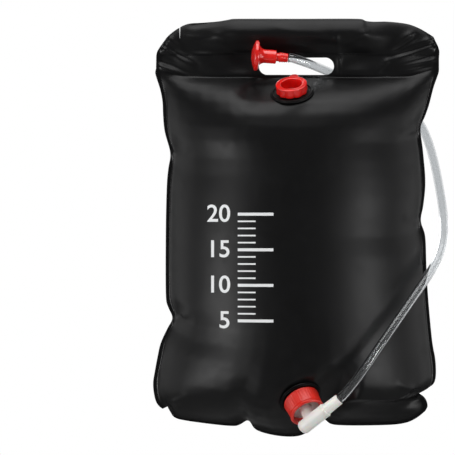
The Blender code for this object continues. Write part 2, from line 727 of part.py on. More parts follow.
def make_hose(side, head):
    """A round hose on a smooth curve, square to the elbow's socket and to the head's collar."""
    def on_axis(axis, height):
        return axis.matrix_world @ Vector((0.0, 0.0, height))

    socket = BARREL_LENGTH + SOCKET_LENGTH + GAP
    start = [on_axis(side, socket), on_axis(side, socket + HOSE_R)]
    finish = [on_axis(head, -GAP - HOSE_R), on_axis(head, -GAP)]
    line = smooth_line([*start, *HOSE_ROUTE, *finish])[LINE_STEPS:-LINE_STEPS]
    inner = at_shares(line, [k / HOSE_POINTS for k in range(1, HOSE_POINTS)])
    points = [*start, *[Vector(p) for p in inner], *finish]
    curve = bpy.data.curves.new("hose", "CURVE")
    curve.dimensions = "3D"
    curve.bevel_depth = HOSE_R
    curve.bevel_resolution = HOSE_BEVEL_STEPS
    curve.use_fill_caps = True
    spline = curve.splines.new("POLY")
    spline.points.add(len(points) - 1)
    for point, place in zip(spline.points, points):
        point.co = (*place, 1.0)
    clear = material("hose_pvc", (0.85, 0.87, 0.88), 0.12, transmission=0.9)
    add_object("hose", curve, clear)


def make_head(axis):
    """Stem, ring, sliding bell and rose, along the head's axis from the hose end."""
    shoulder = HEAD_COLLAR_LENGTH + HEAD_GAP
    stem_end = shoulder + HEAD_STEM_REACH
    groove = stem_end - GROOVE_BACK
    bed = HEAD_STEM_R - GROOVE_DEPTH
    ring_r = (GROOVE_DEPTH - GAP) / 2
    wide = ring_r + GAP
    stem = [
        (HEAD_PASSAGE_R, 0.0), (HEAD_COLLAR_END_R, 0.0), (HEAD_COLLAR_R, HEAD_COLLAR_LENGTH),
        (HEAD_STEM_R, HEAD_COLLAR_LENGTH), (HEAD_STEM_R, groove - wide), (bed, groove - wide),
        (bed, groove + wide), (HEAD_STEM_R, groove + wide), (HEAD_STEM_R, stem_end),
        (HEAD_PASSAGE_R, stem_end),
    ]
    turned("head_stem", stem, red_plastic("stem_red"), axis, sides=SMALL_ROUND)
    middle = HEAD_STEM_R - ring_r
    ring = [
        (middle + ring_r * math.cos(a), groove + ring_r * math.sin(a))
        for a in [math.tau * k / RING_STEPS for k in range(RING_STEPS)]
    ]
    rubber = material("ring_rubber", (0.02, 0.02, 0.02), 0.6)
    turned("head_ring", ring, rubber, axis, sides=FINE_ROUND)
    make_bell(axis, shoulder)


def make_bell(axis, start):
    """The bell slides on the stem; its flare ends in the disc that carries the rose."""
    bore = HEAD_STEM_R + HEAD_PLAY
    disc_back = start + BELL_LENGTH
    face = disc_back + DISC_THICK
    flare = disc_back - BELL_FLARE
    turn = [
        (BELL_R - BELL_SHOULDER * (1 - math.sin(a)), start + BELL_SHOULDER * (1 - math.cos(a)))
        for a in [math.radians(d) for d in SHOULDER_DEGREES]
    ]
    swell = [
        (BELL_R + (BELL_END_R - BELL_R) * share**SWELL_POWER, flare + BELL_FLARE * share)
        for share in [k / SWELL_STEPS for k in range(1, SWELL_STEPS + 1)]
    ]
    hollow = BELL_R - BELL_WALL
    seat_r = DISC_R - BELL_WALL
    rim = [
        (DISC_R - DISC_ROUND * (1 - math.sin(a)), disc_back + DISC_ROUND * (1 - math.cos(a)))
        for a in [math.radians(d) for d in RIM_DEGREES]
    ]
    rim += [(r, disc_back + face - height) for r, height in reversed(rim)]
    profile = [
        (bore, start), *turn, *swell, *rim, (seat_r, face),
        (seat_r, face - ROSE_SEAT - GAP), (seat_r - BELL_WALL, face - ROSE_SEAT - GAP),
        (seat_r - BELL_WALL, face - ROSE_SEAT - BELL_WALL / 2),
        (hollow, disc_back - BELL_WALL), (hollow, flare), (bore, flare - BELL_WALL / 2),
    ]
    turned("head_bell", profile, red_plastic("bell_red"), axis, sides=SMALL_ROUND)
    make_rose(axis, face, seat_r - GAP)


def make_rose(axis, face, radius):
    """The domed front plate with its rings of spray holes."""
    def dome(r, height):
        return height + ROSE_DOME * (1 - (r / radius) ** 2)

    steps = [radius * k / ROSE_STEPS for k in range(ROSE_STEPS + 1)]
    outer = [(r, dome(r, face)) for r in reversed(steps)]
    inner = [(r, dome(r, face - ROSE_THICK)) for r in steps[:-1]]
    profile = [*inner, (radius, face - ROSE_SEAT), *outer[:-1], (0.0, face + ROSE_DOME)]
    finish = red_plastic("rose_red")
    rose = turned("head_rose", profile, finish, axis, sides=SMALL_ROUND, closed=False)
    shape = bmesh.new()
    for ring in range(1, SPRAY_RINGS + 1):
        for step in range(SPRAY_PER_RING * ring):
            turn = math.tau * step / (SPRAY_PER_RING * ring)
            place = Matrix.Translation((
                SPRAY_RING * ring * math.cos(turn), SPRAY_RING * ring * math.sin(turn),
                face - ROSE_THICK + ROSE_DOME / 2,
            ))
            bmesh.ops.create_cone(
                shape, cap_ends=True, segments=RING_STEPS, radius1=SPRAY_HOLE_R,
                radius2=SPRAY_HOLE_R, depth=2 * (ROSE_DOME + ROSE_THICK), matrix=place,
            )
    mesh = bpy.data.meshes.new("spray_holes")
    shape.to_mesh(mesh)
    shape.free()
    cut(rose, add_object("spray_holes", mesh, None, axis))


def main():
    for old in list(bpy.data.objects):
        bpy.data.objects.remove(old, do_unlink=True)
    filler = axis_empty("filler_axis", *filler_seat())
    outlet = axis_empty("outlet_axis", *outlet_seat())
    head = axis_empty("head_axis", HEAD_END, HEAD_AXIS_SHARES)
    make_sheets(filler, outlet)
    make_handle_tube()
    make_filler(filler)
    make_outlet(outlet)
    make_head(head)
    make_hose(bpy.data.objects["barrel_axis"], head)


main()
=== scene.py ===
# Camp shower bag: the finished looks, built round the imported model.
import json
import math

import bmesh
import bpy
import numpy as np
from mathutils import Matrix, Vector
from mathutils.bvhtree import BVHTree


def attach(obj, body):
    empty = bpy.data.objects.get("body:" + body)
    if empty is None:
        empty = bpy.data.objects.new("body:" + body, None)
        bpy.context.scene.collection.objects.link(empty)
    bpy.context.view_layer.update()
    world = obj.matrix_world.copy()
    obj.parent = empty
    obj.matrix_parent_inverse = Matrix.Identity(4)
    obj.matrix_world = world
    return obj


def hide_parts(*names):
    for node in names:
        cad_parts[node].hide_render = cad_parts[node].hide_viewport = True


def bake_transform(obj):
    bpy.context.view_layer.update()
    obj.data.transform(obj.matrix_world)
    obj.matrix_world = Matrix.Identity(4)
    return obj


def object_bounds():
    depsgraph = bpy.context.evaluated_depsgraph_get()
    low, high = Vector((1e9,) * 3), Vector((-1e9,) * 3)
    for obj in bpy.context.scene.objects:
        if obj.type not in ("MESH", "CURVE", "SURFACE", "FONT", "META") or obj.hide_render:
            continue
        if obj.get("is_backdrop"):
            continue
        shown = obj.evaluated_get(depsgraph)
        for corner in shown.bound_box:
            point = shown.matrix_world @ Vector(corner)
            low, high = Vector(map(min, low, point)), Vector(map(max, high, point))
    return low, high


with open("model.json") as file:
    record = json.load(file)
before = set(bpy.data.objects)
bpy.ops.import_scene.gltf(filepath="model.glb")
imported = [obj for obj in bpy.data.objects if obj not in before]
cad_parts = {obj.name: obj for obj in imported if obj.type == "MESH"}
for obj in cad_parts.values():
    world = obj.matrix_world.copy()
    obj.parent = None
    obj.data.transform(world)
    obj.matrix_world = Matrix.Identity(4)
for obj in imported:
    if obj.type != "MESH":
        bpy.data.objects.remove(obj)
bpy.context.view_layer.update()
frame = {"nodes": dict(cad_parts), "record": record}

nodes = frame["nodes"]
scene = bpy.context.scene

# The camera stands square to the bag, with the bag right of the middle of the picture.
# One picture width covers 0.65 m at the plane of the bag's edge weld.
PICTURE_WIDTH = 0.65065
CAMERA_X, CAMERA_AWAY, CAMERA_Z = -0.0994, 4.0, -0.2867
SENSOR_MM, SEES_TO = 36, 40
bpy.ops.object.camera_add(location=(CAMERA_X, -CAMERA_AWAY, CAMERA_Z), rotation=(math.pi / 2, 0, 0))
camera = bpy.context.object
camera.name = "camera"
camera.data.sensor_width = SENSOR_MM
camera.data.lens = SENSOR_MM * CAMERA_AWAY / PICTURE_WIDTH
camera.data.clip_end = SEES_TO
scene.camera = camera


# The hem tube: a plain length of extruded grey plastic tube that carries the hanging line.
# It lies loose in the top hem, and both its ends are sawn off square.
class Wire:
    """A socket in a finish's maths: the operators on it add Math nodes."""

    def __init__(self, finish, socket):
        self.finish, self.socket = finish, socket

    def sum(self, operation, other):
        return self.finish.node("ShaderNodeMath", {"operation": operation}, {0: self, 1: other})

    def __add__(self, other):
        return self.sum("ADD", other)

    def __sub__(self, other):
        return self.sum("SUBTRACT", other)

    def __mul__(self, other):
        return self.sum("MULTIPLY", other)


class Finish:
    """A finish on the principled shader, whose nodes all come from one method."""

    def __init__(self, name, **constants):
        self.material = bpy.data.materials.new(name)
        self.material.use_nodes = True
        self.tree = self.material.node_tree
        self.shader = self.tree.nodes["Principled BSDF"]
        for socket, value in constants.items():
            self.shader.inputs[socket.replace("_", " ")].default_value = value

    def node(self, kind, settings=None, sockets=None, out=0):
        made = self.tree.nodes.new(kind)
        for name, value in (settings or {}).items():
            if name == "stops":
                stops = made.color_ramp.elements
                while len(stops) < len(value):
                    stops.new(0.5)
                for stop, (place, shade) in zip(stops, value):
                    stop.position, stop.color = place, (shade, shade, shade, 1)
            else:
                setattr(made, name, value)
        for name, value in (sockets or {}).items():
            if isinstance(value, Wire):
                self.tree.links.new(value.socket, made.inputs[name])
            else:
                made.inputs[name].default_value = value
        return Wire(self, made.outputs[out])

    def place(self, scale=None):
        """Where a point lies in the bag's own frame, in metres, or drawn out along an axis."""
        here = self.node("ShaderNodeTexCoord", out="Object")
        return self.node("ShaderNodeMapping", {}, {"Vector": here, "Scale": scale}) if scale else here

    def noise(self, scale, detail=2.0, place=None):
        return self.node("ShaderNodeTexNoise", {}, {
            "Vector": place or self.place(), "Scale": scale, "Detail": detail})

    def steps(self, wire, *stops):
        return self.node("ShaderNodeValToRGB", {"stops": stops}, {0: wire})

    def mix(self, share, dark, light):
        return self.node("ShaderNodeMix", {"data_type": "RGBA"}, {0: share, 6: dark, 7: light}, 2)

    def feed(self, **wires):
        for socket, wire in wires.items():
            self.tree.links.new(wire.socket, self.shader.inputs[socket.replace("_", " ")])

    def relief(self, height, distance, strength=1.0):
        self.feed(Normal=self.node("ShaderNodeBump", {}, {
            "Height": height, "Distance": distance, "Strength": strength}))


def dress(node, finish):
    """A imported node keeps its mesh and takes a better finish."""
    for slot in nodes[node].material_slots:
        slot.material = finish.material


tube_plastic = Finish("tube_plastic", Roughness=0.45)
drawn = tube_plastic.noise(240, 3, tube_plastic.place((0.04, 1, 1)))
tube_plastic.feed(
    Base_Color=tube_plastic.mix(drawn, (0.035, 0.035, 0.036, 1), (0.060, 0.060, 0.062, 1)),
    Roughness=drawn * 0.25 + 0.35,
)
tube_plastic.relief(drawn, 0.00008, 0.5)
dress("handle_tube", tube_plastic)

# The bag: two sheets of black PVC film, calendered with a fine satin grain and welded
# to each other round the edge with hot bars, which leave a glossy flat rim. The top is
# doubled over a tube and welded again. Water has filled it, and its weight makes the folds.
HALF_WIDTH, HEIGHT, TOP = 0.203, 0.5973, 0.0118
BAND_DEPTH, WELD = 0.0725, 0.0065
SLEEVE_R, TUBE_HALF = 0.0118, 0.080
FILM = 0.0006
WELD_OFF = 0.0009

TOP_LINE = [
    (-0.922, 0.047), (-0.888, 0.035), (-0.833, 0.022), (-0.768, 0.012), (-0.669, 0.0096),
    (-0.560, 0.0065), (-0.480, 0.0020), (-0.430, 0.0), (0.0, 0.0), (0.430, 0.0),
    (0.480, 0.0050), (0.540, 0.0070), (0.640, 0.0068), (0.773, 0.012), (0.850, 0.021),
    (0.905, 0.031), (0.960, 0.043),
]
BAND_LEFT_LINE = [(-0.922, 0.047), (-0.968, 0.069), (-0.990, 0.085), (-0.993, 0.120)]
BAND_RIGHT_LINE = [(0.960, 0.043), (1.000, 0.073), (1.000, 0.095), (1.000, 0.117)]
BAND_FOOT_LINE = [(-0.85, -0.006), (-0.70, 0.0), (0.0, 0.0), (0.70, 0.0), (0.86, -0.008)]
LEFT_LINE = [
    (-1.000, 0.130), (-0.963, 0.170), (-0.947, 0.200), (-0.944, 0.228), (-0.932, 0.270),
    (-0.892, 0.322), (-0.906, 0.357), (-0.917, 0.400), (-0.924, 0.500), (-0.924, 0.660),
    (-0.905, 0.692), (-0.876, 0.716), (-0.911, 0.740), (-0.960, 0.776), (-0.983, 0.810),
    (-1.002, 0.845), (-1.014, 0.872), (-1.006, 0.901), (-0.986, 0.922), (-0.948, 0.934),
]
RIGHT_LINE = [
    (1.000, 0.127), (0.962, 0.164), (0.930, 0.206), (0.899, 0.236), (0.869, 0.262),
    (0.887, 0.316), (0.904, 0.390), (0.890, 0.446), (0.871, 0.484), (0.903, 0.521),
    (0.912, 0.600), (0.925, 0.675), (0.952, 0.772), (0.973, 0.812), (0.979, 0.845),
    (0.972, 0.867), (0.944, 0.878), (0.806, 0.884), (0.893, 0.904), (0.921, 0.924),
    (0.906, 0.938),
]
BOTTOM_LINE = [
    (-0.948, 0.934), (-0.910, 0.928), (-0.882, 0.925), (-0.868, 0.944), (-0.850, 0.957), (-0.658, 0.968),
    (-0.448, 0.975), (-0.388, 0.969), (-0.340, 0.960), (-0.289, 0.984), (-0.142, 0.998),
    (0.010, 0.999), (0.105, 0.982), (0.185, 0.957), (0.262, 0.972), (0.592, 0.973),
    (0.758, 0.968), (0.845, 0.955), (0.906, 0.938),
]


def at(shares):
    """Places on the bag's middle plane, from shares of its half width and height."""
    return [np.array((x * HALF_WIDTH, TOP - z * HEIGHT)) for x, z in shares]


def smooth_line(points, steps=24):
    points = [np.array(p, float) for p in points]
    run = [2 * points[0] - points[1], *points, 2 * points[-1] - points[-2]]
    line = []
    for a, b, c, d in zip(run, run[1:], run[2:], run[3:]):
        for t in np.arange(steps) / steps:
            line.append(0.5 * (2 * b + (c - a) * t + (2 * a - 5 * b + 4 * c - d) * t**2
                               + (3 * b - a - 3 * c + d) * t**3))
    return np.array([*line, run[-2]])


def along(line, shares):
    length = np.concatenate(([0], np.cumsum(np.linalg.norm(np.diff(line, axis=0), axis=1))))
    return np.stack([np.interp(np.array(shares) * length[-1], length, line[:, k])
                     for k in range(line.shape[1])], axis=1)


def patch(top, foot, left, right, across, down):
    """A grid of places between four edge lines."""
    t, f, l, r = along(top, across), along(foot, across), along(left, down), along(right, down)
    u, v = np.array(across)[None, :, None], np.array(down)[:, None, None]
    corners = (1 - u) * (1 - v) * t[0] + u * (1 - v) * t[-1] + (1 - u) * v * f[0] + u * v * f[-1]
    return (1 - v) * t + v * f + (1 - u) * l[:, None] + u * r[:, None] - corners


weld_share = WELD / (2 * HALF_WIDTH)
COLUMNS, ROWS = 76, 98
rim = [0, 0.3 * weld_share, 0.8 * weld_share]
across = [*rim, *np.linspace(weld_share, 1 - weld_share, COLUMNS + 1), *[1 - s for s in rim[::-1]]]
foot_share = WELD / (HEIGHT - BAND_DEPTH)
down = [*np.linspace(0, 1 - foot_share, ROWS + 1), 1 - 0.8 * foot_share, 1 - 0.3 * foot_share, 1]
band_left, band_right = smooth_line(at(BAND_LEFT_LINE)), smooth_line(at(BAND_RIGHT_LINE))
band_foot = smooth_line([
    band_left[-1], *[np.array((x * HALF_WIDTH, -BAND_DEPTH - z * HEIGHT)) for x, z in BAND_FOOT_LINE],
    band_right[-1],
])
chamber = patch(
    band_foot, smooth_line(at(BOTTOM_LINE)),
    smooth_line([band_left[-1], *at(LEFT_LINE)]), smooth_line([band_right[-1], *at(RIGHT_LINE)]),
    across, down,
)


def cad_face(node, forward, places):
    """How far a solid's outer face stands off the middle plane at each place."""
    tree = BVHTree.FromObject(nodes[node], bpy.context.evaluated_depsgraph_get())
    off = []
    for x, z in places.reshape(-1, 2):
        hit = tree.ray_cast(Vector((x, forward * 0.3, z)), Vector((0, -forward, 0)))[0]
        off.append(max(forward * hit.y, WELD_OFF) if hit else WELD_OFF)
    return np.array(off).reshape(places.shape[:2])


joints = {joint["name"]: joint for joint in frame["record"]["behaviour"]["joints"]}
filler_seat, outlet_seat = [
    (Vector(joints[name]["pos_m"]), Vector(joints[name]["axis"])) for name in ("cap_turn", "collar_turn")
]
FLAT_WIDTH, FLAT_HEIGHT, FLAT_WITH_BAND = 0.408, 0.552, 0.640
FLANGE_R, FLANGE_HOLD, FLANGE_REACH = 0.031, 0.003, 0.115
PRESS_STEPS = 44
NOTCH, NOTCH_R = (0.176, -0.516), 0.015


def grid_object(name, places, forward):
    """A grid of faces laid on rows and columns of places, first row on top, face outwards."""
    rows, columns = places.shape[:2]
    bpy.ops.object.select_all(action="DESELECT")
    bpy.ops.mesh.primitive_grid_add(x_subdivisions=columns - 1, y_subdivisions=rows - 1)
    made = bpy.context.object
    made.name = made.data.name = name
    made.data.vertices.foreach_set("co", places[::-1].ravel())
    made.data.update()
    if forward > 0:
        made.data.flip_normals()
    return made


def press_out(places, forward, seats):
    """Fills one sheet with water, held at its weld and under the flanges, and gives its places."""
    rows, columns = places.shape[:2]
    sheet = grid_object("pressed", places, forward)
    flat = np.zeros((rows, columns, 3))
    flat[..., 0] = (np.array(across)[None, :] - 0.5) * FLAT_WIDTH
    flat[..., 2] = -np.array(down)[:, None] * FLAT_HEIGHT
    sheet.shape_key_add(name="filled")
    cut = sheet.shape_key_add(name="cut")
    cut.data.foreach_set("co", flat[::-1].ravel())
    fixed = np.zeros((rows, columns), bool)
    fixed[:, :4] = fixed[:, -4:] = fixed[0] = fixed[-4:] = True
    for centre, axis in seats:
        fixed |= np.linalg.norm(places - np.array(centre), axis=2) < FLANGE_R + FLANGE_HOLD
    fixed |= np.linalg.norm(places[..., [0, 2]] - np.array(NOTCH), axis=2) < NOTCH_R
    held = sheet.vertex_groups.new(name="held")
    held.add([int(k) for k in np.flatnonzero(fixed[::-1].ravel())], 1.0, "REPLACE")
    cloth = sheet.modifiers.new("water", "CLOTH")
    film = cloth.settings
    film.vertex_group_mass = "held"
    film.rest_shape_key = cut
    film.quality, film.mass = 7, 0.5
    film.tension_stiffness = film.compression_stiffness = 60
    film.shear_stiffness, film.bending_stiffness = 40, 2.5
    film.tension_damping = film.compression_damping = film.shear_damping = 14
    film.bending_damping, film.air_damping = 2, 5
    film.use_pressure, film.uniform_pressure_force = True, 24
    film.effector_weights.gravity = 0
    cloth.point_cache.frame_end = PRESS_STEPS
    for step in range(1, PRESS_STEPS + 1):
        scene.frame_set(step)
    shaped = sheet.evaluated_get(bpy.context.evaluated_depsgraph_get()).to_mesh()
    result = np.zeros(rows * columns * 3)
    shaped.vertices.foreach_get("co", result)
    scene.frame_set(1)
    bpy.data.objects.remove(sheet)
    return result.reshape(rows, columns, 3)[::-1]


# The hem's section, as heights and how far it stands off: it hangs loose round the tube.
HEM_SECTION = smooth_line([
    (0.0118, 0.0), (0.0114, 0.0030), (0.0098, 0.0060), (0.0075, 0.0085), (0.0035, 0.0113),
    (-0.0015, 0.0137), (-0.0065, 0.0156), (-0.0100, 0.0161), (-0.0150, 0.0148), (-0.0225, 0.0102),
    (-0.0320, 0.0047), (-0.0375, 0.0016), (-0.0395, 0.0009), (-0.0500, 0.0009), (-0.0725, 0.0009),
], 8)
HEM_FLAT_BY, HEM_FLATTENED = 0.5, 0.66


def hem_off(x, z):
    """How far the hem stands off the middle plane, flatter towards its open ends."""
    off = float(np.interp(-z, -HEM_SECTION[:, 0], HEM_SECTION[:, 1]))
    past = min(max((abs(x) - TUBE_HALF) / (HALF_WIDTH - TUBE_HALF) / HEM_FLAT_BY, 0), 1)
    return off * (1 - HEM_FLATTENED * past * past * (3 - 2 * past))


hem_rows = [SLEEVE_R * math.sin(math.radians(a)) for a in (90, 82, 73, 63, 52, 40, 27, 13, 0)]
hem_rows += [-0.005, -0.010, -0.015, -0.020, -0.025, -0.030, -0.034, -0.0375, -0.0382, -0.0408,
             -0.0415, -0.044, -0.048, -0.052, -0.056, -0.060, -0.064, -0.0675, -0.0682, -0.0715]
hem_down = [(TOP - z) / (TOP + BAND_DEPTH) for z in hem_rows] + [1]
hem = patch(smooth_line(at(TOP_LINE)), band_foot, band_left, band_right, across, hem_down)
hem_z = np.array([*hem_rows, -BAND_DEPTH])
WELD_BARS = ((-0.0410, -0.0380), (-0.0730, -0.0680))


def weld_of(rows, columns):
    """1 on the flat bars of the welds: the rim, the hem's seam and the foot of the hem."""
    bar = np.zeros((rows, columns))
    bar[:, :4] = bar[:, -4:] = bar[-4:] = 1
    for low, high in WELD_BARS:
        bar[np.flatnonzero((hem_z >= low) & (hem_z <= high))] = 1
    return bar


# Folds, each from one place to another on the middle plane, with its half width and height.
# The two layers of the band fold as one. The others are in one layer alone.
BAND_FOLDS = [
    ((-0.1945, -0.0300), (-0.1440, -0.0590), 0.0050, 0.0042),
    ((-0.1930, -0.0235), (-0.1390, -0.0545), 0.0036, -0.0024),
    ((-0.1990, -0.0470), (-0.1500, -0.0660), 0.0038, -0.0026),
    ((-0.1980, -0.0560), (-0.1560, -0.0690), 0.0036, 0.0020),
    ((-0.1880, -0.0120), (-0.1560, -0.0420), 0.0040, 0.0026),
    ((-0.1645, -0.0157), (-0.0730, -0.0214), 0.0042, 0.0016),
    ((-0.1800, -0.0360), (-0.1180, -0.0400), 0.0036, 0.0018),
    ((0.1644, -0.0086), (0.1272, -0.0372), 0.0050, 0.0030),
    ((0.1716, -0.0129), (0.1315, -0.0390), 0.0036, -0.0028),
    ((0.1980, -0.0157), (0.1290, -0.0410), 0.0036, 0.0032),
    ((0.1973, -0.0221), (0.1258, -0.0455), 0.0036, -0.0024),
    ((0.1945, -0.0285), (0.1240, -0.0500), 0.0042, 0.0034),
    ((0.1300, -0.0470), (0.1110, -0.0670), 0.0036, 0.0026),
    ((0.1960, -0.0400), (0.1380, -0.0560), 0.0036, -0.0022),
    ((0.1975, -0.0470), (0.1400, -0.0610), 0.0038, 0.0024),
    ((0.1960, -0.0545), (0.1190, -0.0680), 0.0036, -0.0020),
    ((0.0600, -0.0420), (0.0605, -0.0720), 0.0026, 0.0032),
    ((0.0550, -0.0143), (0.0590, -0.0400), 0.0040, 0.0028),
]
FRONT_FOLDS = [
    ((-0.1530, 0.0020), (-0.1050, 0.0074), 0.0042, -0.0034),
    ((-0.1200, -0.0100), (-0.0800, -0.0340), 0.0050, 0.0014),
    ((-0.0400, 0.0020), (0.0400, -0.0200), 0.0060, 0.0010),
    ((0.0200, -0.0120), (0.1000, -0.0300), 0.0060, 0.0012),
    ((0.1000, -0.0080), (0.0600, -0.0300), 0.0045, 0.0016),
    ((-0.0679, -0.5590), (-0.0500, -0.5520), 0.0045, 0.0034),
    ((-0.0652, -0.5605), (-0.0280, -0.5730), 0.0040, 0.0028),
    ((-0.0720, -0.5600), (-0.0960, -0.5480), 0.0060, 0.0024),
    ((0.0560, -0.5600), (0.0760, -0.5470), 0.0050, 0.0026),
    ((0.1640, -0.5180), (0.1400, -0.5060), 0.0050, 0.0030),
    ((0.1660, -0.5240), (0.1500, -0.5400), 0.0040, 0.0024),
    ((-0.1770, -0.5380), (-0.1560, -0.5240), 0.0045, 0.0028),
    ((-0.1800, -0.4180), (-0.1520, -0.4080), 0.0060, 0.0030),
    ((-0.1790, -0.1830), (-0.1520, -0.1760), 0.0060, 0.0026),
    ((0.1740, -0.1480), (0.1450, -0.1500), 0.0060, 0.0026),
    ((0.1750, -0.2780), (0.1500, -0.2720), 0.0060, 0.0024),
]
BACK_FOLDS = [
    ((-0.0679, -0.5590), (-0.0480, -0.5480), 0.0060, 0.0030),
    ((0.1640, -0.5180), (0.1340, -0.5020), 0.0060, 0.0034),
    ((-0.1770, -0.5380), (-0.1480, -0.5180), 0.0060, 0.0030),
    ((-0.1790, -0.1830), (-0.1480, -0.1700), 0.0065, 0.0028),
    ((0.1740, -0.1480), (0.1400, -0.1450), 0.0065, 0.0028),
    ((-0.1100, -0.0740), (-0.0900, -0.1060), 0.0060, 0.0022),
    ((0.0200, -0.0740), (0.0100, -0.1080), 0.0060, 0.0022),
    ((0.1100, -0.0740), (0.0950, -0.1040), 0.0060, 0.0022),
]


def fold(places, folds, forward):
    """Raises each fold along its line, highest at its start, fading out at its end."""
    flat = places[..., [0, 2]]
    for start, end, half, height in folds:
        start, end = np.array(start), np.array(end)
        line = end - start
        share = np.clip(((flat - start) @ line) / (line @ line), 0, 1)
        away = np.linalg.norm(flat - start - share[..., None] * line, axis=-1)
        rise = height * np.exp(-(away / half) ** 2) * (1 - share) ** 0.7 * np.minimum(share * 6 + 0.35, 1)
        places[..., 1] += forward * rise
    return places


# The band's soft waves, as height, turns across and down, and start. They fade out at its rims.
WAVES = ((0.0016, 70, 60, 0.6), (0.0013, 43, -130, 1.3))
WAVES_TOP, WAVES_HALF_WIDTH = -0.026, 0.196
FADE_TOP, FADE_FOOT, FADE_SIDE = 0.012, 0.010, 0.020


def ripple(places):
    """Soft waves in the doubled band, the same in both its layers."""
    x, z = places[..., 0], places[..., 2]
    inside = np.clip((WAVES_TOP - z) / FADE_TOP, 0, 1) * np.clip((z + BAND_DEPTH) / FADE_FOOT, 0, 1)
    inside *= np.clip((WAVES_HALF_WIDTH - np.abs(x)) / FADE_SIDE, 0, 1)
    for height, turn_x, turn_z, start in WAVES:
        places[..., 1] -= inside * height * np.sin(turn_x * x + turn_z * z + start)
    return places


def apply(made, kind, **settings):
    """Adds a modifier to a piece and applies it."""
    bpy.ops.object.select_all(action="DESELECT")
    bpy.context.view_layer.objects.active = made
    made.select_set(True)
    change = made.modifiers.new("change", kind)
    for name, value in settings.items():
        setattr(change, name, value)
    bpy.ops.object.modifier_apply(modifier=change.name)


SLOT_LENGTH, SLOT_HEIGHT, SLOT_DROP, SLOT_X = 0.1074, 0.0246, 0.0562, -0.0009
SLIT_X, SLIT_FOOT, SLIT_WIDTH, SLIT_FOOT_SHARE = -0.1676, -0.0165, 0.0030, 0.12
FILLER_HOLE_R, OUTLET_HOLE_R = 0.0180, 0.0200
PUNCH_THROUGH, PUNCH_HOLE, PUNCH_OVER = 0.06, 0.02, 0.02


def cutter(seats):
    """The punches of a sheet: the hand slot, the hem's tapered slit and a hole under each neck."""
    bpy.ops.object.select_all(action="DESELECT")
    bpy.ops.mesh.primitive_cylinder_add(
        vertices=64, radius=SLOT_HEIGHT / 2, depth=PUNCH_THROUGH, location=(SLOT_X, 0, -SLOT_DROP),
        rotation=(math.pi / 2, 0, 0))
    slot = bpy.context.object
    for corner in slot.data.vertices:
        corner.co.x += math.copysign((SLOT_LENGTH - SLOT_HEIGHT) / 2, corner.co.x)
    bpy.ops.mesh.primitive_cube_add(size=1, location=(SLIT_X, 0, (TOP + PUNCH_OVER + SLIT_FOOT) / 2))
    slit = bpy.context.object
    slit.scale = (SLIT_WIDTH, PUNCH_THROUGH, TOP + PUNCH_OVER - SLIT_FOOT)
    for corner in slit.data.vertices:
        if corner.co.z < 0:
            corner.co.x *= SLIT_FOOT_SHARE
    punches = [slot, slit]
    for (centre, axis), radius in zip(seats, (FILLER_HOLE_R, OUTLET_HOLE_R)):
        bpy.ops.mesh.primitive_cylinder_add(
            vertices=64, radius=radius, depth=PUNCH_HOLE, location=centre,
            rotation=axis.to_track_quat("Z", "Y").to_euler())
        punches.append(bpy.context.object)
    for punch in punches:
        punch.select_set(True)
    bpy.context.view_layer.objects.active = slot
    bpy.ops.object.join()
    return slot


film_black = Finish("film_black", Roughness=0.3, Specular_IOR_Level=0.22)
bar = film_black.node("ShaderNodeAttribute", {"attribute_name": "weld"}, out="Fac")
cloud = film_black.noise(16, 4)
grain = film_black.noise(1500, 2)
pebble = film_black.node("ShaderNodeTexVoronoi", {"feature": "DISTANCE_TO_EDGE"},
                         {"Vector": film_black.place(), "Scale": 900.0})
scuff = film_black.steps(film_black.noise(60, 6), (0.52, 0), (0.72, 1))
film_black.feed(
    Base_Color=film_black.mix(cloud, (0.0034, 0.0034, 0.0036, 1), (0.0056, 0.0056, 0.0059, 1)),
    Roughness=cloud * 0.07 + scuff * 0.05 + 0.36 - bar * 0.12,
)
film_black.relief(grain * 0.5 + pebble * 0.6 - bar * 0.3, 0.00010, 0.35)


def make_sheet(name, node, forward, seats, folds):
    off = cad_face(node, forward, chamber)
    places = np.dstack((chamber[..., 0], forward * off, chamber[..., 1]))
    pressed = press_out(places, forward, seats)
    for centre, _ in seats:
        away = np.linalg.norm(places - np.array(centre), axis=2)
        free = np.clip((away - FLANGE_R) / FLANGE_REACH, 0, 1)[..., None]
        pressed = places + (pressed - places) * free * free * (3 - 2 * free)
    places = pressed
    top = np.array([[max(hem_off(x, z), WELD_OFF) for x, _ in line] for z, line in zip(hem_z, hem)])
    bar = weld_of(len(hem) - 1 + len(places), len(across))
    top[bar[:len(hem)] > 0] = WELD_OFF
    top[0] = 0
    top = np.dstack((hem[..., 0], forward * top, hem[..., 1]))
    whole = np.concatenate((top[:-1], places))
    whole[..., 1] = forward * np.maximum(forward * whole[..., 1], WELD_OFF)
    whole[0, :, 1] = 0
    sheet = grid_object(name, whole, forward)
    weld = sheet.data.attributes.new("weld", "FLOAT", "POINT")
    weld.data.foreach_set("value", bar[::-1].ravel())
    apply(sheet, "SUBSURF", levels=1, render_levels=1, boundary_smooth="ALL")
    shape = np.zeros(len(sheet.data.vertices) * 3)
    sheet.data.vertices.foreach_get("co", shape)
    shape = ripple(fold(fold(shape.reshape(-1, 3), BAND_FOLDS, -1), folds, forward))
    sheet.data.vertices.foreach_set("co", shape.ravel())
    apply(sheet, "SOLIDIFY", thickness=FILM, offset=-1)
    punch = cutter(seats)
    apply(sheet, "BOOLEAN", operation="DIFFERENCE", solver="EXACT", object=punch)
    bpy.data.objects.remove(punch)
    sheet.data.materials.clear()
    sheet.data.materials.append(film_black.material)
    sheet.data.shade_smooth()
    sheet.data.set_sharp_from_angle(angle=math.radians(60))
    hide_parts(node)
    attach(sheet, "bag")
    return sheet


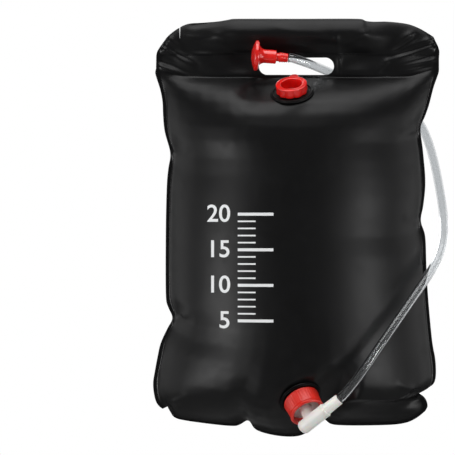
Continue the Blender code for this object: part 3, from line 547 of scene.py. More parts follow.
bag_front = make_sheet("bag_front", "front_sheet", -1, [filler_seat, outlet_seat], FRONT_FOLDS)
make_sheet("bag_back", "back_sheet", 1, [], BACK_FOLDS)


# The filler neck: a soft PVC moulding with a flat flange, welded over a hole in the front
# sheet. The hot ring of the weld leaves a raised bead round the flange.
def seated(seat):
    """The frame of a fitting: Z out along its axis, Y up the bag."""
    place, axis = seat
    out = axis.normalized()
    side = Vector((0, 0, 1)).cross(out).normalized()
    frame_of = Matrix((side, out.cross(side), out)).transposed().to_4x4()
    frame_of.translation = place
    return frame_of


def arc(r, h, radius, start, end, steps=6):
    """Points of an outline round a rounded corner, from one angle to another in degrees."""
    return [(r + radius * math.cos(math.radians(start + (end - start) * k / steps)),
             h + radius * math.sin(math.radians(start + (end - start) * k / steps)))
            for k in range(steps + 1)]


def turned(name, outline, sides=96):
    """A piece turned as on a lathe: its half outline spun once round Z."""
    bpy.ops.object.select_all(action="DESELECT")
    bpy.ops.mesh.primitive_circle_add(vertices=len(outline), radius=0.01)
    made = bpy.context.object
    made.name = made.data.name = name
    for corner, (r, h) in zip(made.data.vertices, outline):
        corner.co = (r, 0, h)
    bpy.ops.object.mode_set(mode="EDIT")
    bpy.ops.mesh.select_all(action="SELECT")
    bpy.ops.mesh.spin(steps=sides, angle=math.tau, center=(0, 0, 0), axis=(0, 0, 1))
    bpy.ops.mesh.select_all(action="SELECT")
    bpy.ops.mesh.remove_doubles(threshold=1e-6)
    bpy.ops.mesh.delete_loose()
    bpy.ops.mesh.select_all(action="SELECT")
    bpy.ops.mesh.normals_make_consistent(inside=False)
    bpy.ops.object.mode_set(mode="OBJECT")
    return made


def ease(made, width, angle=35, segments=3):
    """Rounds a moulding's sharp edges by a small radius."""
    apply(made, "BEVEL", width=width, segments=segments, limit_method="ANGLE",
          angle_limit=math.radians(angle))


def set_down(made, seat, finish, body, node):
    """Puts a moulding on its seat for good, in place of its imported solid."""
    bpy.ops.object.select_all(action="DESELECT")
    bpy.context.view_layer.objects.active = made
    made.select_set(True)
    made.matrix_world = seat
    bpy.ops.object.transform_apply(location=True, rotation=True, scale=True)
    made.data.materials.clear()
    made.data.materials.append(finish.material)
    made.data.shade_smooth()
    made.data.set_sharp_from_angle(angle=math.radians(40))
    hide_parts(node)
    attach(made, body)
    return made


GAP = 0.0003
FLANGE_THICK, BEAD, BEAD_INSET = 0.002, 0.0012, 0.003
FLANGE_EDGE, FLANGE_DISHED, NECK_EDGE = 0.0005, 0.0007, 0.0006
THREAD_BELOW_RIM, THREAD_PITCH, THREAD_RISE, THREAD_DEPTH = 0.0062, 0.0030, 0.0006, 0.00035
FILLER_NECK_R, FILLER_WALL, FILLER_NECK_HEIGHT = 0.0194, 0.0028, 0.011
filler_frame, outlet_frame = seated(filler_seat), seated(outlet_seat)
neck_black = Finish("neck_black", Roughness=0.4, Specular_IOR_Level=0.11)
mould = neck_black.noise(45, 3)
neck_black.feed(
    Base_Color=neck_black.mix(mould, (0.0026, 0.0026, 0.0028, 1), (0.0045, 0.0045, 0.0048, 1)),
    Roughness=mould * 0.16 + 0.30,
)
neck_black.relief(neck_black.noise(700, 2), 0.00005, 0.4)


def neck_outline(radius, wall, height):
    """A flange with its weld bead, a soft fillet, and the neck with two low turns of thread."""
    bore, flat, ring = radius - wall, GAP + FLANGE_THICK, FLANGE_R - BEAD_INSET
    threads = [
        (radius + stands * THREAD_DEPTH, height - THREAD_BELOW_RIM + turn * THREAD_PITCH + k * THREAD_RISE)
        for turn in (0, 1) for k, stands in enumerate((0, 1, 1, 0))]
    return [
        (bore, GAP), (FLANGE_R, GAP), (FLANGE_R, flat - BEAD),
        *arc(FLANGE_R - FLANGE_EDGE, flat - BEAD, FLANGE_EDGE, 0, 90, 3),
        (ring + BEAD, flat - FLANGE_DISHED), *arc(ring, flat - BEAD / 2, BEAD, 10, 170, 8),
        (ring - BEAD, flat - FLANGE_DISHED), (radius + 0.0015, flat - FLANGE_DISHED),
        (radius + 0.0004, flat), (radius, flat + 0.0010), *threads,
        (radius, height - NECK_EDGE), (radius - NECK_EDGE, height),
        (bore + FLANGE_EDGE, height), (bore, height - FLANGE_EDGE),
    ]


filler_neck = turned("filler_neck_moulding", neck_outline(FILLER_NECK_R, FILLER_WALL, FILLER_NECK_HEIGHT))
set_down(filler_neck, filler_frame, neck_black, "bag", "filler_neck")

# The filler's gasket: a flat ring of soft pale rubber, cut from sheet. It lies loose on the
# neck's rim, and the cap presses it down.
seal_pale = Finish("seal_pale", Roughness=0.6)
chalk = seal_pale.noise(300, 4)
seal_pale.feed(Base_Color=seal_pale.mix(chalk, (0.50, 0.50, 0.47, 1), (0.66, 0.66, 0.63, 1)),
               Roughness=chalk * 0.2 + 0.5)
seal_pale.relief(chalk, 0.00006, 0.5)
dress("filler_gasket", seal_pale)

# The filler cap: moulded in glossy red plastic, with a scalloped skirt for the fingers, a
# wide flat rim, a deep cup that plugs the neck, and a lug that a tether could hold.
CAP_R, CAP_HEIGHT, CAP_TOP, CAP_PLAY, GASKET = 0.02225, 0.0126, 0.0025, 0.0005, 0.0015
CAP_SCALLOP, CAP_SCALLOPS, SCALLOP_STEPS = 0.0018, 10, 16
CUP_WALL, CUP_DEPTH, CUP_FLOOR = 0.0009, 0.0155, 0.0016
FOOT_EDGE, SKIRT_EDGE, RIM_EDGE, CUP_EDGE, CUP_ROUND = 0.0003, 0.0006, 0.0011, 0.0010, 0.0012
cap_under = FILLER_NECK_HEIGHT + 2 * GAP + GASKET
cap_top = cap_under + CAP_TOP
cap_foot = cap_top - CAP_HEIGHT
plug_r = FILLER_NECK_R - FILLER_WALL - CAP_PLAY
cup_r, cup_floor = plug_r - CUP_WALL, cap_top - CUP_DEPTH
skirt_r = FILLER_NECK_R + CAP_PLAY

cap_red = Finish("cap_red", Roughness=0.2, Coat_Weight=0.6, Coat_Roughness=0.05,
                 Subsurface_Weight=0.08, Subsurface_Scale=0.002)
flow = cap_red.noise(38, 4)
cap_red.feed(
    Base_Color=cap_red.mix(flow, (0.70, 0.010, 0.008, 1), (0.82, 0.016, 0.012, 1)),
    Roughness=flow * 0.12 + 0.14,
)
cap_red.relief(cap_red.noise(420, 3), 0.00004, 0.35)

filler_cap = turned("filler_cap_moulding", [
    (0, cup_floor - CUP_FLOOR), (cup_r, cup_floor - CUP_FLOOR), (plug_r, cup_floor - 0.0007),
    (plug_r, cap_under), (skirt_r, cap_under), (skirt_r, cap_foot + FOOT_EDGE),
    (skirt_r + FOOT_EDGE, cap_foot),
    *arc(CAP_R - SKIRT_EDGE, cap_foot + SKIRT_EDGE, SKIRT_EDGE, -90, 0, 4),
    (CAP_R, cap_foot + 0.003), (CAP_R, cap_top - 0.003),
    *arc(CAP_R - RIM_EDGE, cap_top - RIM_EDGE, RIM_EDGE, 0, 90, 6),
    *arc(cup_r + CUP_EDGE, cap_top - CUP_EDGE, CUP_EDGE, 90, 180, 6), (cup_r, cup_floor + CUP_ROUND),
    *arc(cup_r - CUP_ROUND, cup_floor + CUP_ROUND, CUP_ROUND, 0, -90, 4), (0, cup_floor),
], CAP_SCALLOPS * SCALLOP_STEPS)


def press_in(made, count, steps, depth, outside, top, bow):
    """Presses hollows into a round wall, all round: each ring of like corners is drawn in."""
    bpy.ops.object.mode_set(mode="EDIT")
    shape = bmesh.from_edit_mesh(made.data)
    for phase in range(steps // 2 + 1):
        hollow = 1 - abs(math.sin(math.pi * phase / steps)) ** bow
        for corner in shape.verts:
            reach = math.hypot(corner.co.x, corner.co.y)
            turn = round(math.atan2(corner.co.y, corner.co.x) / math.tau * count * steps) % steps
            corner.select = reach > outside and corner.co.z < top and min(turn, steps - turn) == phase
        shape.select_flush(True)
        bmesh.update_edit_mesh(made.data)
        share = 1 - depth * hollow / outside
        bpy.ops.transform.resize(value=(share, share, 1), center_override=(0, 0, 0))
    bpy.ops.object.mode_set(mode="OBJECT")


LUG_WIDTH, LUG_REACH, LUG_THICK, LUG_ROOT, LUG_EDGE, LUG_DROP = 0.0125, 0.0083, 0.003, 0.0025, 0.0008, 0.0009
SCALLOP_BOW = 0.8
press_in(filler_cap, CAP_SCALLOPS, SCALLOP_STEPS, CAP_SCALLOP, (skirt_r + CAP_R) / 2, cap_top - LUG_DROP,
         SCALLOP_BOW)
bpy.ops.mesh.primitive_cylinder_add(
    vertices=48, radius=LUG_WIDTH / 2, depth=LUG_THICK,
    location=(0, CAP_R + LUG_REACH - LUG_WIDTH / 2, cap_top - LUG_DROP - LUG_THICK / 2))
lug = bpy.context.object
for corner in lug.data.vertices:
    if corner.co.y < 0:
        corner.co.y -= LUG_ROOT
ease(lug, LUG_EDGE)
apply(filler_cap, "BOOLEAN", operation="UNION", solver="EXACT", object=lug)
bpy.data.objects.remove(lug)
set_down(filler_cap, filler_frame, cap_red, "cap", "filler_cap")

# The outlet neck: the same moulding one size up, welded low on the front sheet, with a
# flat black rubber ring on its rim that the elbow's disc is pressed on.
OUTLET_NECK_R, OUTLET_WALL, OUTLET_NECK_HEIGHT = 0.0216, 0.0032, 0.014
outlet_neck = turned("outlet_neck_moulding", neck_outline(OUTLET_NECK_R, OUTLET_WALL, OUTLET_NECK_HEIGHT))
set_down(outlet_neck, outlet_frame, neck_black, "bag", "outlet_neck")
seal_black = Finish("seal_black", Roughness=0.55)
dust = seal_black.noise(350, 4)
seal_black.feed(Base_Color=seal_black.mix(dust, (0.012, 0.012, 0.012, 1), (0.030, 0.030, 0.029, 1)),
                Roughness=dust * 0.2 + 0.45)
seal_black.relief(dust, 0.00005, 0.5)
dress("outlet_gasket", seal_black)

# The elbow: moulded in off-white nylon, with a disc that the collar clamps, a stem, and a
# barrel at right angles that narrows in a step to the hose's socket. It swivels by hand.
ELBOW_RISE, BARREL_R, BARREL_HEEL, BARREL_LENGTH = 0.045, 0.010, 0.0210, 0.0258
SOCKET_R, SOCKET_END_R, SOCKET_LENGTH, PASSAGE_R, STEM_R = 0.0084, 0.0076, 0.0245, 0.0048, 0.009
ELBOW_DISC, DISC_EDGE, HEEL_FLAT_R, HEEL_ROUND, BARREL_LIP = 0.0025, 0.0003, 0.0028, 0.0072, 0.0004
BORE_OVER = 0.001
disc_low = OUTLET_NECK_HEIGHT + 2 * GAP + GASKET
disc_top = disc_low + ELBOW_DISC
disc_r = OUTLET_NECK_R - CAP_PLAY
stem_axis = outlet_seat[1].normalized()
barrel_side = Vector((0.754, -0.233, 0.615))
barrel_side -= stem_axis * barrel_side.dot(stem_axis)
barrel_frame = seated((outlet_seat[0] + stem_axis * ELBOW_RISE, barrel_side))

nylon_white = Finish("nylon_white", Roughness=0.35, Subsurface_Weight=0.2, Subsurface_Scale=0.003)
milk = nylon_white.noise(30, 4)
nylon_white.feed(
    Base_Color=nylon_white.mix(milk, (0.86, 0.85, 0.80, 1), (0.92, 0.91, 0.87, 1)),
    Roughness=milk * 0.16 + 0.28,
)
nylon_white.relief(nylon_white.noise(500, 3), 0.00005, 0.35)


def rod(name, radius, low, high, sides=64):
    return turned(name, [(0, low), (radius, low), (radius, high), (0, high)], sides)


def move(made, matrix):
    made.matrix_world = matrix
    bpy.context.view_layer.update()
    return made


elbow = turned("elbow_moulding", [
    (0, disc_low), (disc_r - DISC_EDGE, disc_low), (disc_r, disc_low + DISC_EDGE),
    (disc_r, disc_top - DISC_EDGE), (disc_r - DISC_EDGE, disc_top),
    (STEM_R, disc_top), (STEM_R, ELBOW_RISE), (0, ELBOW_RISE),
], 72)
step = BARREL_LENGTH
barrel = turned("barrel", [
    (0, -BARREL_HEEL), (HEEL_FLAT_R, -BARREL_HEEL),
    *arc(HEEL_FLAT_R, -BARREL_HEEL + HEEL_ROUND, HEEL_ROUND, -80, 0, 9),
    (BARREL_R, step - 0.0034), (BARREL_R + BARREL_LIP, step - 0.0030),
    (BARREL_R + BARREL_LIP, step - BARREL_LIP), (BARREL_R, step), (SOCKET_R + 0.0002, step),
    (SOCKET_R, step + 0.0003), (SOCKET_END_R + 0.0001, step + SOCKET_LENGTH - 0.0008),
    (SOCKET_END_R - 0.0006, step + SOCKET_LENGTH), (0, step + SOCKET_LENGTH),
], 72)
to_outlet = outlet_frame.inverted() @ barrel_frame
apply(elbow, "BOOLEAN", operation="UNION", solver="EXACT", object=move(barrel, to_outlet))
stem_bore = rod("stem_bore", PASSAGE_R, disc_low - BORE_OVER, ELBOW_RISE)
apply(elbow, "BOOLEAN", operation="DIFFERENCE", solver="EXACT", object=stem_bore)
barrel_bore = move(rod("barrel_bore", PASSAGE_R, -PASSAGE_R, step + SOCKET_LENGTH + BORE_OVER), to_outlet)
apply(elbow, "BOOLEAN", operation="DIFFERENCE", solver="EXACT", object=barrel_bore)
for tool in (barrel, stem_bore, barrel_bore):
    bpy.data.objects.remove(tool)
set_down(elbow, outlet_frame, nylon_white, "elbow", "elbow")

# The washer: a thin stamped ring of pale slippery plastic between the elbow's disc and the
# collar's lip, so that the collar turns without dragging the elbow round.
washer_pale = Finish("washer_pale", Roughness=0.35)
worn = washer_pale.noise(90, 4)
washer_pale.feed(Base_Color=washer_pale.mix(worn, (0.52, 0.52, 0.50, 1), (0.66, 0.66, 0.63, 1)),
                 Roughness=worn * 0.2 + 0.26)
washer_pale.relief(worn, 0.00005, 0.4)
dress("collar_washer", washer_pale)

# The outlet collar: a nut moulded in orange-red plastic, with faint grip flutes round its
# wall and a thick rounded lip, screwed on the outlet neck.
COLLAR_R, COLLAR_HEIGHT, COLLAR_OPENING_R, COLLAR_PLAY, WASHER = 0.0256, 0.0265, 0.0200, 0.0005, 0.001
FLUTES, FLUTE_STEPS, FLUTE, FLUTE_BOW = 40, 8, 0.0004, 0.8
MOUTH_EDGE, NUT_EDGE = 0.0004, 0.0005
collar_low = GAP + FLANGE_THICK + BEAD + GAP
collar_top = collar_low + COLLAR_HEIGHT
lip_low = disc_top + 2 * GAP + WASHER
nut_r = OUTLET_NECK_R + COLLAR_PLAY
collar_red = Finish("collar_red", Roughness=0.34, Coat_Weight=0.12, Coat_Roughness=0.12,
                    Subsurface_Weight=0.08, Subsurface_Scale=0.002)
swirl = collar_red.noise(34, 4)
collar_red.feed(
    Base_Color=collar_red.mix(swirl, (0.62, 0.012, 0.006, 1), (0.74, 0.024, 0.010, 1)),
    Roughness=swirl * 0.14 + 0.28,
)
collar_red.relief(collar_red.noise(420, 3), 0.00005, 0.4)
lip_r = (COLLAR_R - COLLAR_OPENING_R) / 2 - 0.0003
outlet_collar = turned("outlet_collar_moulding", [
    (nut_r, collar_low), *arc(COLLAR_R, collar_low + NUT_EDGE, NUT_EDGE, -90, 0, 3),
    (COLLAR_R + NUT_EDGE, collar_low + 0.0020), (COLLAR_R, collar_low + 0.0028),
    (COLLAR_R - 0.0010, collar_top - 0.0078), (COLLAR_R - 0.0014, collar_top - 0.0066),
    (COLLAR_R - 0.0013, collar_top - 0.0054),
    *arc(COLLAR_R - 0.0002 - lip_r, collar_top - lip_r, lip_r, -35, 90, 9),
    *arc(COLLAR_OPENING_R + MOUTH_EDGE + lip_r, collar_top - lip_r, lip_r, 90, 180, 8),
    (COLLAR_OPENING_R + MOUTH_EDGE, lip_low + 0.0025), (COLLAR_OPENING_R, lip_low + 0.0023),
    (COLLAR_OPENING_R, lip_low), (nut_r, lip_low),
], FLUTES * FLUTE_STEPS)
press_in(outlet_collar, FLUTES, FLUTE_STEPS, FLUTE, (nut_r + COLLAR_R) / 2 + 0.0006, collar_top - 0.0055,
         FLUTE_BOW)
set_down(outlet_collar, outlet_frame, collar_red, "collar", "outlet_collar")

# The hose: clear flexible PVC tube of 13 mm outside, pushed into the elbow's socket. It runs
# behind the bag, up its back, and out through the hand slot to the shower head.
HOSE_ROUTE = [
    (0.0720, -0.0975, -0.5130), (0.0870, -0.0960, -0.4910), (0.1090, -0.0890, -0.4590),
    (0.1300, -0.0770, -0.4300), (0.1510, -0.0600, -0.4015), (0.1720, -0.0390, -0.3730),
    (0.1930, -0.0150, -0.3460), (0.2080, 0.0030, -0.3190), (0.2130, 0.0140, -0.2900),
    (0.2100, 0.0220, -0.2560), (0.2040, 0.0290, -0.2200), (0.1975, 0.0350, -0.1850),
    (0.1870, 0.0395, -0.1500), (0.1690, 0.0415, -0.1190), (0.1400, 0.0400, -0.0960),
    (0.1050, 0.0360, -0.0820), (0.0740, 0.0285, -0.0735), (0.0500, 0.0140, -0.0655),
    (0.0290, -0.0045, -0.0575), (0.0100, -0.0190, -0.0500),
]
HOSE_R, HOSE_WALL, HOSE_RINGS, HOSE_EASED = 0.0065, 0.0018, 241, 120
HEAD_END = (-0.0134, -0.0225, -0.0455)
head_seat = (Vector(HEAD_END), Vector(joints["head_slide"]["axis"]))
head_frame = seated(head_seat)
socket_end = BARREL_LENGTH + SOCKET_LENGTH + GAP
hose_ends = [barrel_frame @ Vector((0, 0, socket_end + extra)) for extra in (0, HOSE_R)]
head_ends = [head_frame @ Vector((0, 0, -GAP - extra)) for extra in (HOSE_R, 0)]
hose_line = along(smooth_line([*hose_ends, *HOSE_ROUTE, *head_ends], 12), np.linspace(0, 1, HOSE_RINGS))
for _ in range(HOSE_EASED):
    hose_line[3:-3] = 0.5 * hose_line[3:-3] + 0.25 * (hose_line[2:-4] + hose_line[4:-2])

bpy.ops.object.select_all(action="DESELECT")
bpy.ops.curve.primitive_bezier_curve_add()
hose = bpy.context.object
hose.name = hose.data.name = "hose_tube"
hose.data.splines.clear()
hose.data.dimensions = "3D"
run = hose.data.splines.new("POLY")
run.points.add(len(hose_line) - 1)
for point, place in zip(run.points, hose_line):
    point.co = (*place, 1)
hose.data.bevel_depth, hose.data.bevel_resolution = HOSE_R, 8
bpy.ops.object.convert(target="MESH")
hose = bpy.context.object
apply(hose, "SOLIDIFY", thickness=HOSE_WALL, offset=-1)
hose_clear = Finish("hose_clear", Roughness=0.05, IOR=1.42, Transmission_Weight=1.0)
haze = hose_clear.noise(40, 3)
hose_clear.feed(
    Base_Color=hose_clear.mix(haze, (0.63, 0.65, 0.66, 1), (0.76, 0.77, 0.78, 1)),
    Roughness=haze * 0.04 + 0.02,
)
hose_clear.relief(hose_clear.noise(26, 1), 0.0002, 0.05)
hose.data.materials.clear()
hose.data.materials.append(hose_clear.material)
hose.data.shade_smooth()
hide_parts("hose")

# The shower head's stem: a turned tube moulded in glossy red plastic. Its ridged collar grips
# the hose's end, and a soft black rubber ring lies in the groove that it has further on.
HEAD_COLLAR_R, HEAD_COLLAR_END_R, HEAD_COLLAR_LENGTH = 0.0072, 0.0066, 0.0127
HEAD_STEM_R, HEAD_STEM_REACH, HEAD_PASSAGE_R, HEAD_GAP = 0.0060, 0.018, 0.003, 0.004
GROOVE_BACK, GROOVE_DEPTH, GROOVE_HALF = 0.010, 0.0016, 0.00095
RIDGES, RIDGE_START, RIDGE_PITCH, RIDGE, RIDGE_WIDTH = 5, 0.0012, 0.0024, 0.0004, 0.0018
shoulder = HEAD_COLLAR_LENGTH + HEAD_GAP
stem_end = shoulder + HEAD_STEM_REACH
bed, groove_low = HEAD_STEM_R - GROOVE_DEPTH, stem_end - GROOVE_BACK - GROOVE_HALF
groove_high = groove_low + 2 * GROOVE_HALF
ridges = []
for k in range(RIDGES):
    low = RIDGE_START + k * RIDGE_PITCH
    swell = HEAD_COLLAR_END_R + (HEAD_COLLAR_R - HEAD_COLLAR_END_R) * low / HEAD_COLLAR_LENGTH
    ridges += [(swell - RIDGE, low), (swell, low + RIDGE),
               (swell, low + RIDGE_WIDTH - RIDGE), (swell - RIDGE, low + RIDGE_WIDTH)]
head_stem = turned("head_stem_moulding", [
    (HEAD_PASSAGE_R, 0), (HEAD_COLLAR_END_R - 2 * RIDGE, 0), (HEAD_COLLAR_END_R - RIDGE, 0.0006), *ridges,
    (HEAD_COLLAR_R - 0.0006, HEAD_COLLAR_LENGTH), (HEAD_STEM_R, HEAD_COLLAR_LENGTH),
    (HEAD_STEM_R, groove_low), (bed, groove_low), (bed, groove_high), (HEAD_STEM_R, groove_high),
    (HEAD_STEM_R, stem_end - RIDGE), (HEAD_STEM_R - RIDGE, stem_end), (HEAD_PASSAGE_R, stem_end),
], 64)
head_red = Finish("head_red", Roughness=0.12, Coat_Weight=0.6, Coat_Roughness=0.04,
                  Subsurface_Weight=0.08, Subsurface_Scale=0.002)
streak = head_red.noise(30, 4)
head_red.feed(
    Base_Color=head_red.mix(streak, (0.74, 0.013, 0.010, 1), (0.86, 0.020, 0.014, 1)),
    Roughness=streak * 0.10 + 0.09,
)
head_red.relief(head_red.noise(260, 3), 0.00003, 0.3)
set_down(head_stem, head_frame, head_red, "bag", "head_stem")
dress("head_ring", seal_black)

# The head's bell: a red moulding that slides on the stem by hand, to shut and open the spray.
# It flares like a trumpet into a thick round disc, which is hollow in front for the rose.
BELL_R, BELL_LENGTH, BELL_FLARE, BELL_END_R, BELL_WALL = 0.0098, 0.0245, 0.0095, 0.0150, 0.0022
BELL_SHOULDER, BELL_PLAY, FLARE_CURVE = 0.0016, 0.0003, 2.6
DISC_R, DISC_THICK, DISC_ROUND, DISC_LIFT = 0.0218, 0.007, 0.0026, 0.0004
SEAT_DEPTH, SEAT_LEDGE = 0.0023, 0.0008
disc_back = shoulder + BELL_LENGTH
face, flare = disc_back + DISC_THICK, disc_back - BELL_FLARE
seat_r, hollow = DISC_R - BELL_WALL, BELL_R - BELL_WALL
head_bell = turned("head_bell_moulding", [
    (HEAD_STEM_R + BELL_PLAY, shoulder),
    *arc(BELL_R - BELL_SHOULDER, shoulder + BELL_SHOULDER, BELL_SHOULDER, -90, 0, 5),
    *[(BELL_R + (BELL_END_R - BELL_R) * share**FLARE_CURVE, flare + BELL_FLARE * share)
      for share in (0, 0.2, 0.4, 0.55, 0.7, 0.82, 0.92, 1)],
    (DISC_R - 0.0032, disc_back + DISC_LIFT),
    *arc(DISC_R - DISC_ROUND, disc_back + DISC_ROUND + DISC_LIFT, DISC_ROUND, -70, 0, 5),
    *arc(DISC_R - DISC_ROUND, face - DISC_ROUND, DISC_ROUND, 0, 70, 6), (seat_r, face),
    (seat_r, face - SEAT_DEPTH), (seat_r - BELL_WALL, face - SEAT_DEPTH),
    (seat_r - BELL_WALL, face - SEAT_DEPTH - SEAT_LEDGE), (hollow, disc_back - BELL_WALL),
    (hollow, flare), (HEAD_STEM_R + BELL_PLAY, flare - BELL_WALL / 2),
])
set_down(head_bell, head_frame, head_red, "head", "head_bell")

# The rose: a domed plate of the same red plastic with two rings of drilled spray holes. It
# snaps in the front of the bell, and slides with it.
ROSE_DOME, ROSE_THICK, ROSE_SEAT, ROSE_STEPS = 0.0045, 0.002, 0.002, 12
SPRAY_HOLE_R, SPRAY_RING, SPRAY_RINGS, SPRAY_PER_RING = 0.0009, 0.0075, 2, 6
DRILL_LENGTH, DRILL_LIFT = 0.013, 0.00125
rose_r = seat_r - GAP
dome = [(rose_r * k / ROSE_STEPS, ROSE_DOME * (1 - (k / ROSE_STEPS) ** 2)) for k in range(ROSE_STEPS + 1)]
head_rose = turned("head_rose_moulding", [
    *[(r, face - ROSE_THICK + rise) for r, rise in dome[:-1]], (rose_r, face - ROSE_SEAT),
    *[(r, face + rise) for r, rise in reversed(dome)],
])
bpy.ops.object.select_all(action="DESELECT")
holes = []
for ring in range(1, SPRAY_RINGS + 1):
    for spot in range(SPRAY_PER_RING * ring):
        turn, away = math.tau * spot / (SPRAY_PER_RING * ring), SPRAY_RING * ring
        bpy.ops.mesh.primitive_cylinder_add(
            vertices=14, radius=SPRAY_HOLE_R, depth=DRILL_LENGTH,
            location=(away * math.cos(turn), away * math.sin(turn), face + DRILL_LIFT))
        holes.append(bpy.context.object)
for hole in holes:
    hole.select_set(True)
bpy.ops.object.join()
spray = bpy.context.object
apply(head_rose, "BOOLEAN", operation="DIFFERENCE", solver="EXACT", object=spray)
bpy.data.objects.remove(spray)
set_down(head_rose, head_frame, head_red, "head", "head_rose")

# The hose's length is summed and its mesh set in place here, once its head is there: it ends in it.
hose_length = float(np.linalg.norm(np.diff(hose_line, axis=0), axis=1).sum())
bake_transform(hose)

# The fill marks: plain white ink, screen printed on the film before it was welded. A row of
# bars with plain numbers shows how many litres the bag holds.
MARKS_TOP, MARKS_PITCH, MARKS_AHEAD, INK, INK_CUT = -0.268, 0.050, 0.12, 0.00025, 0.004
NUMBERS_X, NUMBER_SIZE, NUMBER_BOLD = -0.095, 0.034, 0.0004
BAR_X, BAR_WIDTH, BAR_HEIGHT = -0.060, 0.050, 0.0042
TICK_X, TICK_WIDTH, TICK_HEIGHT, TICK_PITCH = -0.0725, 0.025, 0.0022, 0.010
ink_white = Finish("ink_white", Roughness=0.5, Specular_IOR_Level=0.3)
wear = ink_white.noise(120, 5)
ink_white.feed(Base_Color=ink_white.mix(wear, (0.84, 0.85, 0.86, 1), (0.95, 0.96, 0.97, 1)),
               Roughness=wear * 0.2 + 0.4)
ink_white.relief(wear, 0.00005, 0.4)


def printed(name, made):
    """Lays a flat shape of ink on the front sheet, cut finely enough to follow it."""
    made.name = made.data.name = name
    bpy.ops.object.select_all(action="DESELECT")
    bpy.context.view_layer.objects.active = made
    made.select_set(True)
    bpy.ops.object.transform_apply(location=True, rotation=True, scale=True)
    low = np.min([v.co for v in made.data.vertices], axis=0)
    high = np.max([v.co for v in made.data.vertices], axis=0)
    bpy.ops.object.mode_set(mode="EDIT")
    for axis in (0, 2):
        normal = (1, 0, 0) if axis == 0 else (0, 0, 1)
        for place in np.arange(low[axis] + INK_CUT, high[axis], INK_CUT):
            bpy.ops.mesh.select_all(action="SELECT")
            bpy.ops.mesh.bisect(plane_co=tuple(place * np.array(normal)), plane_no=normal)
    bpy.ops.object.mode_set(mode="OBJECT")
    apply(made, "SHRINKWRAP", target=bag_front, wrap_method="PROJECT", use_project_y=True,
          use_negative_direction=True, use_positive_direction=True, offset=INK)
    made.data.materials.clear()
    made.data.materials.append(ink_white.material)
    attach(made, "bag")


def bar_of_ink(name, x, z, width, height):
    bpy.ops.object.select_all(action="DESELECT")
    bpy.ops.mesh.primitive_plane_add(size=1, location=(x, -MARKS_AHEAD, z), rotation=(math.pi / 2, 0, 0))
    made = bpy.context.object
    made.scale = (width, height, 1)
    printed(name, made)


for count, litres in enumerate((20, 15, 10, 5)):
    z = MARKS_TOP - MARKS_PITCH * count
    bpy.ops.object.select_all(action="DESELECT")
    bpy.ops.object.text_add(location=(NUMBERS_X, -MARKS_AHEAD, z), rotation=(math.pi / 2, 0, 0))
    number = bpy.context.object
    number.data.body = str(litres)
    number.data.size = NUMBER_SIZE
    number.data.offset = NUMBER_BOLD
    number.data.align_x, number.data.align_y = "RIGHT", "CENTER"
    bpy.ops.object.convert(target="MESH")
    printed(f"mark_{litres}", bpy.context.object)
    bar_of_ink(f"bar_{litres}", BAR_X, z, BAR_WIDTH, BAR_HEIGHT)
    for tick in range(1, 5 if litres > 5 else 1):
        bar_of_ink(f"tick_{litres}_{tick}", TICK_X, z - TICK_PITCH * tick, TICK_WIDTH, TICK_HEIGHT)

# The stage: a plain pale paper floor well below the bag and a white paper backdrop behind it.
# Soft boxes light it from low on each side, from overhead and from behind, and a narrow
# strip beside each edge of the bag.
class Room(Finish):
    """The room's own nodes, made in the same way as a finish's."""

    def __init__(self, world):
        self.tree = world.node_tree


def seen_white(finish, glossy, share):
    """How white a backdrop shows: to the camera, through the clear hose, and in a gloss."""
    camera_ray, hose_ray, gloss_ray = [
        finish.node("ShaderNodeLightPath", out=f"Is {kind} Ray")
        for kind in ("Camera", "Transmission", "Glossy")]
    return (camera_ray + hose_ray + gloss_ray * glossy).sum("MINIMUM", 1.0) * share


def glow_white(finish, glossy, share):
    """Mixes that white into a sheet of paper."""
    glow = finish.node("ShaderNodeEmission", {}, {"Strength": 1.0})
    lit = finish.node("ShaderNodeMixShader", {}, {
        0: seen_white(finish, glossy, share), 1: Wire(finish, finish.shader.outputs[0]), 2: glow})
    finish.tree.links.new(lit.socket, finish.tree.nodes["Material Output"].inputs["Surface"])


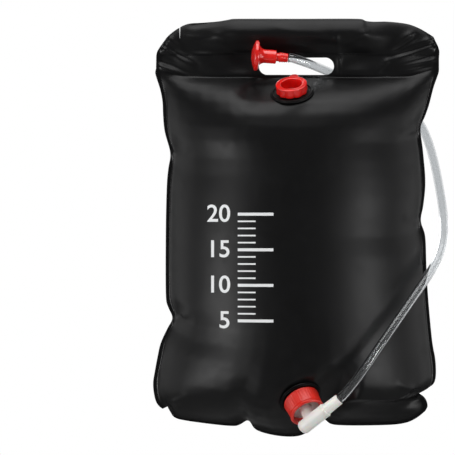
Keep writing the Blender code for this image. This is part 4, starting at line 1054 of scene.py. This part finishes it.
world = bpy.data.worlds.new("room")
scene.world = world
world.use_nodes = True
room = Room(world)
walls = room.mix(seen_white(room, 0.02, 1.0), (0.085, 0.085, 0.086, 1), (1, 1, 1, 1))
room.tree.links.new(walls.socket, room.tree.nodes["Background"].inputs["Color"])
FLOOR_Z, PAPER_SIZE, BACKDROP_AWAY = -1.5, 20, 6
paper = Finish("paper", Base_Color=(0.4, 0.4, 0.4, 1), Roughness=0.9, Specular_IOR_Level=0.1)
glow_white(paper, 0.03, 0.8)
white_paper = Finish("white_paper", Base_Color=(0.9, 0.9, 0.9, 1), Roughness=0.9)
glow_white(white_paper, 1.0, 1.0)
for name, place, turn, finish in (
        ("backdrop", (0, BACKDROP_AWAY, FLOOR_Z + PAPER_SIZE / 2), (math.pi / 2, 0, 0), white_paper),
        ("floor", (0, 0, FLOOR_Z), (0, 0, 0), paper)):
    bpy.ops.mesh.primitive_plane_add(size=PAPER_SIZE, location=place, rotation=turn)
    sheet_of_paper = bpy.context.object
    sheet_of_paper.name = name
    sheet_of_paper.data.materials.append(finish.material)
    sheet_of_paper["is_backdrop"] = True


def soft_box(name, place, aim, width, height, power):
    light = bpy.data.lights.new(name, "AREA")
    light.shape = "RECTANGLE"
    light.size, light.size_y = width, height
    light.energy = power
    lamp = bpy.data.objects.new(name, light)
    scene.collection.objects.link(lamp)
    lamp.location = place
    lamp.rotation_euler = (Vector(aim) - Vector(place)).to_track_quat("-Z", "Y").to_euler()


soft_box("left_box", (-1.3, -1.2, -0.58), (0, 0, -0.42), 0.5, 0.52, 11.5)
soft_box("right_box", (1.3, -1.2, -0.58), (0, 0, -0.42), 0.45, 0.52, 9.7)
soft_box("top_box", (0, -0.6, 1.6), (0, -0.05, -0.12), 2.0, 1.84, 38)
soft_box("left_strip", (-1.6, 0.0, -0.35), (0, 0, -0.35), 0.5, 1.1, 4.4)
soft_box("right_strip", (1.6, 0.0, -0.35), (0, 0, -0.35), 0.5, 1.1, 4.4)
soft_box("rear_box", (-0.8, 1.8, 0.4), (0, 0, -0.3), 1.0, 1.4, 18)

scene.view_settings.view_transform = "Standard"
low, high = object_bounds()
